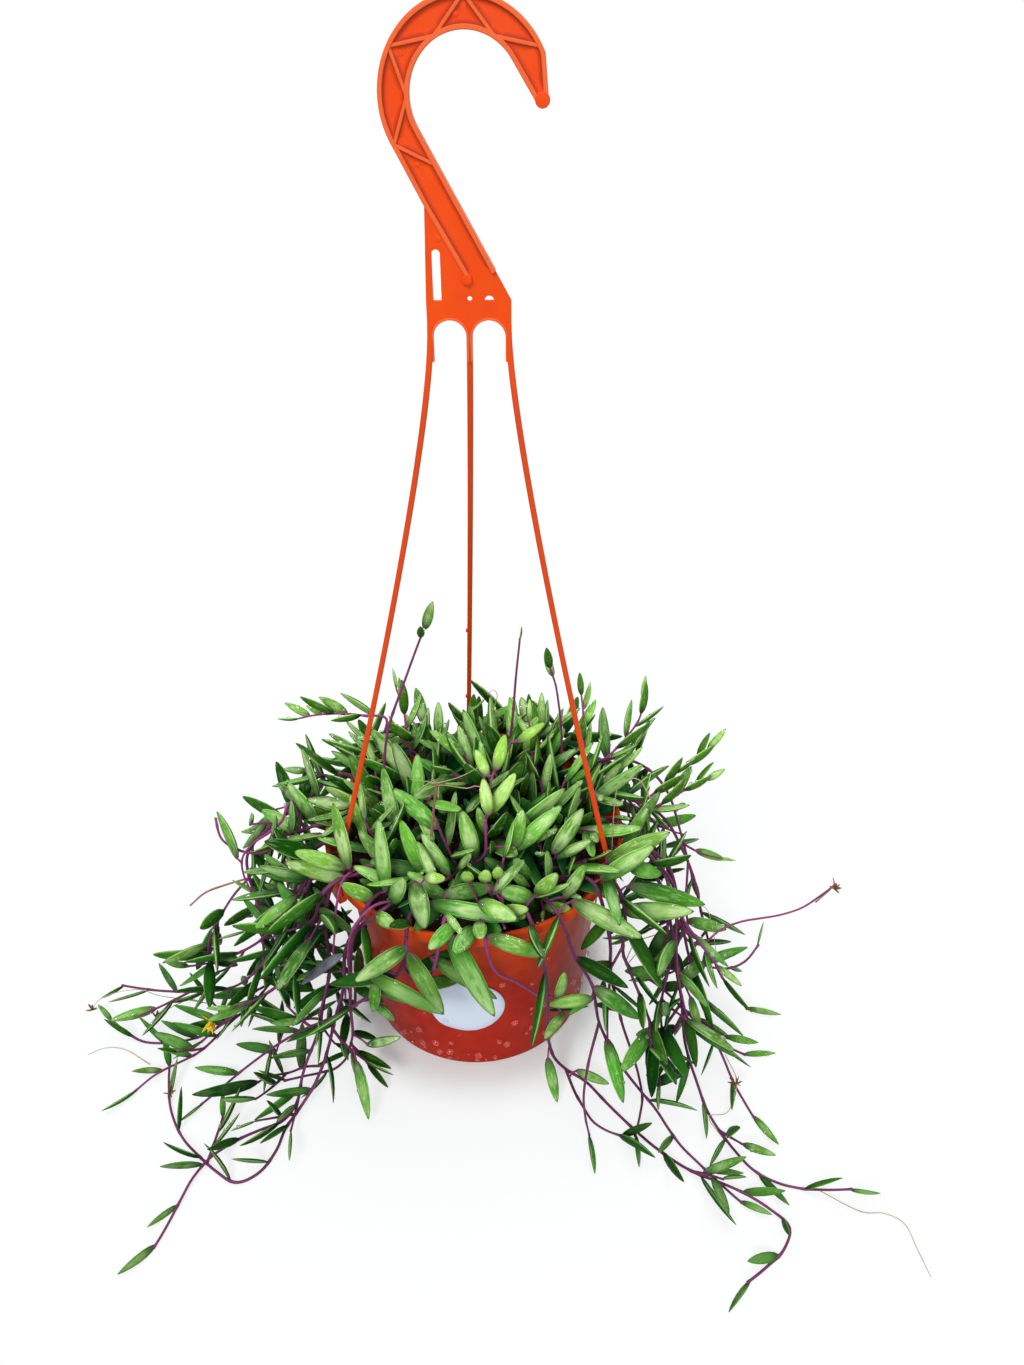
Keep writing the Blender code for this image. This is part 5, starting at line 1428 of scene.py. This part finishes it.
def magenta_stem():
    """A young succulent stem: magenta skin with painted shade that makes it darker and browner where it is
    shaded, greyer towards its root, with paler flecks 1.5 mm wide."""
    made, tree = new_material("magenta_stem_skin")
    place = add_node(tree, "TexCoord", out="Object")
    along, shade = (add_node(tree, "Attribute", out="Fac", attribute_name=mark)
                    for mark in ("along", "shade"))
    flecks = add_node(tree, "TexNoise", {"Vector": place, "Scale": 1 / 0.0015, "Detail": 3.0})
    old = add_node(tree, "MapRange", {"Value": along, "From Min": 0.25, "From Max": 0.0, "To Max": 0.5})
    colour = linear("702058")
    # Painted shade: the shade mark darkens and browns the skin.
    for share, over in ((flecks, "ac548c"), (shade, "482040"), (old, "6a4a4c")):
        colour = add_node(tree, "Mix", {0: share, 6: colour, 7: linear(over)}, 2, data_type="RGBA")
    bump = add_node(tree, "Bump", {"Height": flecks, "Strength": 0.3, "Distance": 0.0003})
    skin = add_node(tree, "BsdfPrincipled", {"Base Color": colour, "Roughness": 0.42, "Normal": bump,
                                             "IOR": 1.45, "Specular IOR Level": 0.2})
    add_node(tree, "OutputMaterial", {"Surface": skin})
    return made


LEAF_SKIN, STEM_SURFACE = waxy_leaf(), magenta_stem()


def in_groups(piece, counts):
    """Gives the piece's faces its materials in turn, so many faces each."""
    which = np.repeat(np.arange(len(counts)), counts).astype(np.int32)
    piece.data.polygons.foreach_set("material_index", which)


def plant_piece(name, stems, leaves, own, grid):
    """One rooted stem with all that grows on it, as one piece with a stem and a leaf material. Its shade
    mark, which the materials paint as shade, is a share of its own, which differs between the crown and
    the vines, and the cover by other growth."""
    skins, marks = [], []
    for path, radius, joints, shade in stems:
        skins.append(stem_skin(path, radius, joints))
        blank = np.zeros(len(skins[-1][0]))
        marks.append([skins[-1][2], blank, blank, blank, blank + shade])
    if leaves:
        skins.append(leaf_skins(leaves))
        marks.append(skins[-1][2])
    points, faces = joined(skins)
    marks = dict(zip(MARKS, np.hstack(marks)))
    marks["shade"] = np.clip(1.35 * (own * marks["shade"] + covered(points, grid)) - 0.15, 0.0, 1.0)
    piece = new_piece(name + "_growth", points, faces, [STEM_SURFACE, LEAF_SKIN])
    bare = sum(len(skin[1]) for skin in skins[:len(stems)])
    in_groups(piece, (bare, len(faces) - bare))
    for mark, values in marks.items():
        set_attribute(piece, mark, values)
    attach(piece, "root")
    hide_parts(name)
    return piece


crowd = Crowd()
add_arms(crowd)
plan = plan_stems()
grown = [grow_stem(crowd, owner, route, kind) for owner, (_, route, kind) in enumerate(plan, 1)]
rngs = [np.random.default_rng(1001 + k) for k in range(len(plan))]
curves = [[(flexed(path, rng, 0.35 if kind == "vine" else 0.22), radius) for path, radius in parts]
          for parts, rng, (_, _, kind) in zip(grown, rngs, plan)]
rooted_curves = [(k, curve) for k, (parts, (_, _, kind)) in enumerate(zip(curves, plan))
                 for curve, _ in parts if kind != "stalk"]
single_stems, single_leaves = clothe_singles(crowd, rooted_curves, np.random.default_rng(5))
clothed = {}
for wanted, clothe in (("crown", clothe_crown), ("stalk", clothe_stalk), ("vine", clothe_vine)):
    for k, (name, _, kind) in enumerate(plan):
        if kind == wanted:
            clothed[k] = clothe(crowd, k, name, curves[k], rngs[k])
grid = growth_grid(crowd)
growth = []
for k, (name, _, kind) in enumerate(plan):
    stems, leaves = clothed[k]
    growth.append(plant_piece(name, stems + single_stems.get(k, []), leaves + single_leaves.get(k, []),
                              0.8 if kind == "vine" else 0.4, grid))

# ---------------------------------------------------------------- dried threads and flower heads
# Old flower stalks dry to pale threads that curl over the growth, some with a tuft of brown scales at
# the end. One bud is still yellow and one leaf has shrivelled. All are thin tubes and small spindles.
THREADS = (
    ([(164, -131, 4), (181, -139, 1), (192, -140, 1), (200, -145, 1), (202, -156, 1), (204, -168, 1)], 0.28),
    ([(-173, -60, 1), (-189, -51, 1), (-200, -50, 1), (-208, -54, 1)], 0.28),
    ([(-144, -30, 11), (-157, -30, 15), (-173, -30, 19), (-182, -30, 24), (-195, -30, 22), (-206, -30, 16),
      (-212, -30, 8)], 0.28),
    ([(-150, -31, 14), (-156, -32, 18), (-168, -32, 11), (-177, -32, 2)], 0.28),
    ([(14, -30, 158), (4, -30, 168), (-2, -30, 167), (-14, -30, 169), (-23, -30, 165)], 0.3),
    ([(84, -31, 160), (77, -30, 172), (69, -30, 170), (67, -30, 160), (67, -31, 141), (67, -33, 128)], 0.32),
    ([(-14, -45, 183), (-4, -42, 184), (4, -38, 186)], 0.25),
    ([(-14, -45, 183), (-22, -43, 183), (-26, -40, 181)], 0.25),
    ([(-14, -45, 183), (-16, -45, 187), (-15, -44, 190)], 0.25),
    ([(109, -30, 89), (117, -30, 87), (122, -30, 74), (127, -30, 51)], 0.22),
    ([(91, -40, 78), (81, -42, 74), (77, -44, 59), (84, -44, 71), (95, -42, 67), (97, -42, 39),
      (95, -42, 27)], 0.28),
    ([(9, 30, 165), (12, 30, 176), (10, 30, 180), (7, 30, 177)], 0.28),
    ([(128, -70, 22), (134, -78, 10), (128, -90, 3), (118, -92, 2), (124, -104, 1)], 0.28),
)
WOODY = (
    ([(-21, -45, 113), (-18, -45, 150), (-14, -45, 183)], 0.8),
    ([(-122, 0, 78), (-135, 0, 73), (-147, 0, 67), (-157, 0, 57)], 0.65),
    ([(180, -13, 72), (187, -13, 84), (186, -13, 90)], 0.45),
)
TUFTS = ((-212, -30, 7), (-177, -32, 3), (68, -36, 127), (188, -13, 82), (-157, -78, 2.5), (133, -80, 12))
TUFT_AIM, TUFT_SCALES, TUFT_LENGTH, TUFT_SLIM = (0.0, 0.0, 0.5), 11, (3.0, 4.6), 0.3
YELLOW_BUD = (-143, -42, 13)
BUD_AIM, BUD_PETALS, BUD_LENGTH, BUD_SLIM = (0.2, -0.9, -0.2), 14, (5.0, 7.5), 0.24
SHRIVELLED_FOOT, SHRIVELLED_TIP, SHRIVELLED_WIDTH = np.array((-60.0, -70.0, 100.0)), (-84.0, -72.0, 84.0), 6.5


def dry_fibre(name, pale, dark):
    """Dried growth: its colour runs from the pale to the dark in stretches of 6 mm, over fibres 0.4 mm
    wide that only roughen it."""
    made, tree = new_material(name)
    place = add_node(tree, "TexCoord", out="Object")
    stretch, fibre = (add_node(tree, "TexNoise", {"Vector": place, "Scale": 1 / size, "Detail": 2.0})
                      for size in (0.006, 0.0004))
    colour = add_node(tree, "Mix", {0: stretch, 6: linear(pale), 7: linear(dark)}, 2, data_type="RGBA")
    bump = add_node(tree, "Bump", {"Height": fibre, "Strength": 0.3, "Distance": 0.0001})
    skin = add_node(tree, "BsdfPrincipled", {"Base Color": colour, "Roughness": 0.7, "Normal": bump,
                                             "IOR": 1.45, "Specular IOR Level": 0.2})
    add_node(tree, "OutputMaterial", {"Surface": skin})
    return made


def scale_tuft(spot, aim, rng, count, length, slim):
    """Scales that start at one spot and open round an aim."""
    scales = []
    for _ in range(count):
        direction = unit(aim + rng.normal(0.0, 0.55, 3))
        direction[2] = max(direction[2], -0.35)
        upper = unit(np.cross(direction, rng.normal(0.0, 1.0, 3)))
        size = rng.uniform(*length)
        scales.append((spot, direction, upper, size, size * slim, 0.3, 0.1, rng.uniform(), 0.0, 0.0))
    return scales


def grouped_piece(name, groups):
    """One dried piece from several (skins, material) groups."""
    points, faces = joined([skin for skins, _ in groups for skin in skins])
    piece = new_piece(name, points, faces, [made for _, made in groups])
    in_groups(piece, [sum(len(skin[1]) for skin in skins) for skins, _ in groups])
    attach(piece, "root")


threads = [stem_skin(resample(line, 2.0), radius, (), 0.6, 5) for line, radius in THREADS]
woody = [stem_skin(resample(line, 2.5), radius, (0.5,), 0.7, 6) for line, radius in WOODY]
grouped_piece("dried_threads", ((threads, dry_fibre("dry_pale_thread", "d8c8a4", "94795a")),
                                (woody, dry_fibre("dry_woody_stalk", "c58a78", "6b4546"))))
rng = np.random.default_rng(11)
scales = []
for spot in TUFTS:
    scales += scale_tuft(spot, TUFT_AIM, rng, TUFT_SCALES, TUFT_LENGTH, TUFT_SLIM)
petals = scale_tuft(YELLOW_BUD, BUD_AIM, rng, BUD_PETALS, BUD_LENGTH, BUD_SLIM)
chord = SHRIVELLED_TIP - SHRIVELLED_FOOT
withered = [(SHRIVELLED_FOOT, unit(chord), unit(np.cross((0.0, 1.0, 0.2), chord)), np.linalg.norm(chord),
             SHRIVELLED_WIDTH, 0.6, -0.16, 0.5, 0.0, 0.0)]
grouped_piece("dried_flower_heads", (
    ([leaf_skins(scales)], dry_fibre("dry_brown_scale", "9a7248", "4e3420")),
    ([leaf_skins(petals)], dry_fibre("yellow_petal", "ffe638", "e0b41c")),
    ([leaf_skins(withered)], dry_fibre("shrivelled_leaf_skin", "8c949e", "262a32"))))

# ---------------------------------------------------------------- water drops
# The plant has just been watered: drops stand on the pot's wall and on the open leaves of the crown.
# Each is a low dome of water, sunk a little into what it stands on.
DROP_SIDES = 8
DROP_RINGS = ((0.96, -0.12), (1.0, 0.3), (0.74, 0.62))     # radius and height, as shares of the drop's
DROP_ENDS = (-0.12, 0.75)
POT_DROPS, LEAF_DROPS = 190, 700
POT_DROP_SIZE, LEAF_DROP_SIZE = 2.1, 1.25                  # the largest radius
# The open part of a leaf: how far it faces up from the rim, where along the leaf it lies, how shaded it
# is, and how level it lies.
OPEN_FACING, OPEN_ALONG, OPEN_SHADE, OPEN_LEVEL = 0.6, (0.1, 0.9), 0.45, 0.35


def clear_water():
    """Clean water: colourless, smooth, with water's own index of refraction."""
    made, tree = new_material("clear_water")
    skin = add_node(tree, "BsdfPrincipled", {"Base Color": WHITE, "Roughness": 0.02, "IOR": 1.33,
                                             "Specular IOR Level": 1.0, "Transmission Weight": 0.95})
    add_node(tree, "OutputMaterial", {"Surface": skin})
    return made


def drops(spots, normals, sizes):
    """A dome at each spot: rings round its normal, closed by a pole below and one above."""
    side = unit(np.cross(normals, (0.3, 0.9, 0.2)))
    front = np.cross(normals, side)
    angle = circle(DROP_SIDES)[:, None]
    ring = side[:, None] * np.cos(angle) + front[:, None] * np.sin(angle)
    rows = [spots[:, None] + (ring * wide + (normals * high)[:, None]) * sizes[:, None, None]
            for wide, high in DROP_RINGS]
    bottom, top = ((spots + normals * high * sizes[:, None])[:, None] for high in DROP_ENDS)
    return repeated(np.concatenate([bottom, *rows, top], axis=1), poled_faces(len(DROP_RINGS), DROP_SIDES))


def pot_drop_places(rng):
    """Places on the wall, their normals and sizes; more of them low down, and none on the label."""
    azimuth = np.radians(rng.uniform(0.0, 360.0, POT_DROPS * 2))
    height = 2.6 + (FLARE - 6.0) * rng.uniform(0.0, 1.0, len(azimuth)) ** 1.8
    across = (azimuth - math.radians(360.0 + LABEL_AZIMUTH)) * BASE_RADIUS
    off_label = np.hypot(across, height - LABEL_HEIGHT) > LABEL_RADIUS + 2.0
    azimuth, height = azimuth[off_label][:POT_DROPS], height[off_label][:POT_DROPS]
    sizes = rng.uniform(0.5, 1.0, len(azimuth)) ** 2 * POT_DROP_SIZE
    return around(wall_radius(height), azimuth, height), unit(around(1.0, azimuth, -WALL_SLOPE)), sizes


def leaf_drop_places(pieces, rng):
    """Places on the upper faces of open, unshaded leaves, their normals and sizes."""
    spots, normals = [], []
    for piece in pieces:
        ways = read_vectors(piece.data.vertex_normals, "vector")
        facing, along, shade = marks = np.empty((3, len(ways)), np.float32)
        for name, values in zip(("facing", "along", "shade"), marks):
            piece.data.attributes[name].data.foreach_get("value", values)
        open_face = ((facing > OPEN_FACING) & (along > OPEN_ALONG[0]) & (along < OPEN_ALONG[1])
                     & (shade < OPEN_SHADE) & (ways[:, 2] > OPEN_LEVEL))
        spots.append(read_vectors(piece.data.vertices, "co")[open_face] / MM)
        normals.append(ways[open_face])
    spots, normals = np.vstack(spots), np.vstack(normals)
    chosen = rng.choice(len(spots), LEAF_DROPS, replace=False)
    return spots[chosen], normals[chosen], rng.uniform(0.4, 1.0, LEAF_DROPS) ** 2 * LEAF_DROP_SIZE


rng = np.random.default_rng(23)
places = [np.concatenate(pair) for pair in zip(pot_drop_places(rng), leaf_drop_places(growth, rng))]
water = new_piece("water_drops", *drops(*places), [clear_water()])
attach(water, "root")
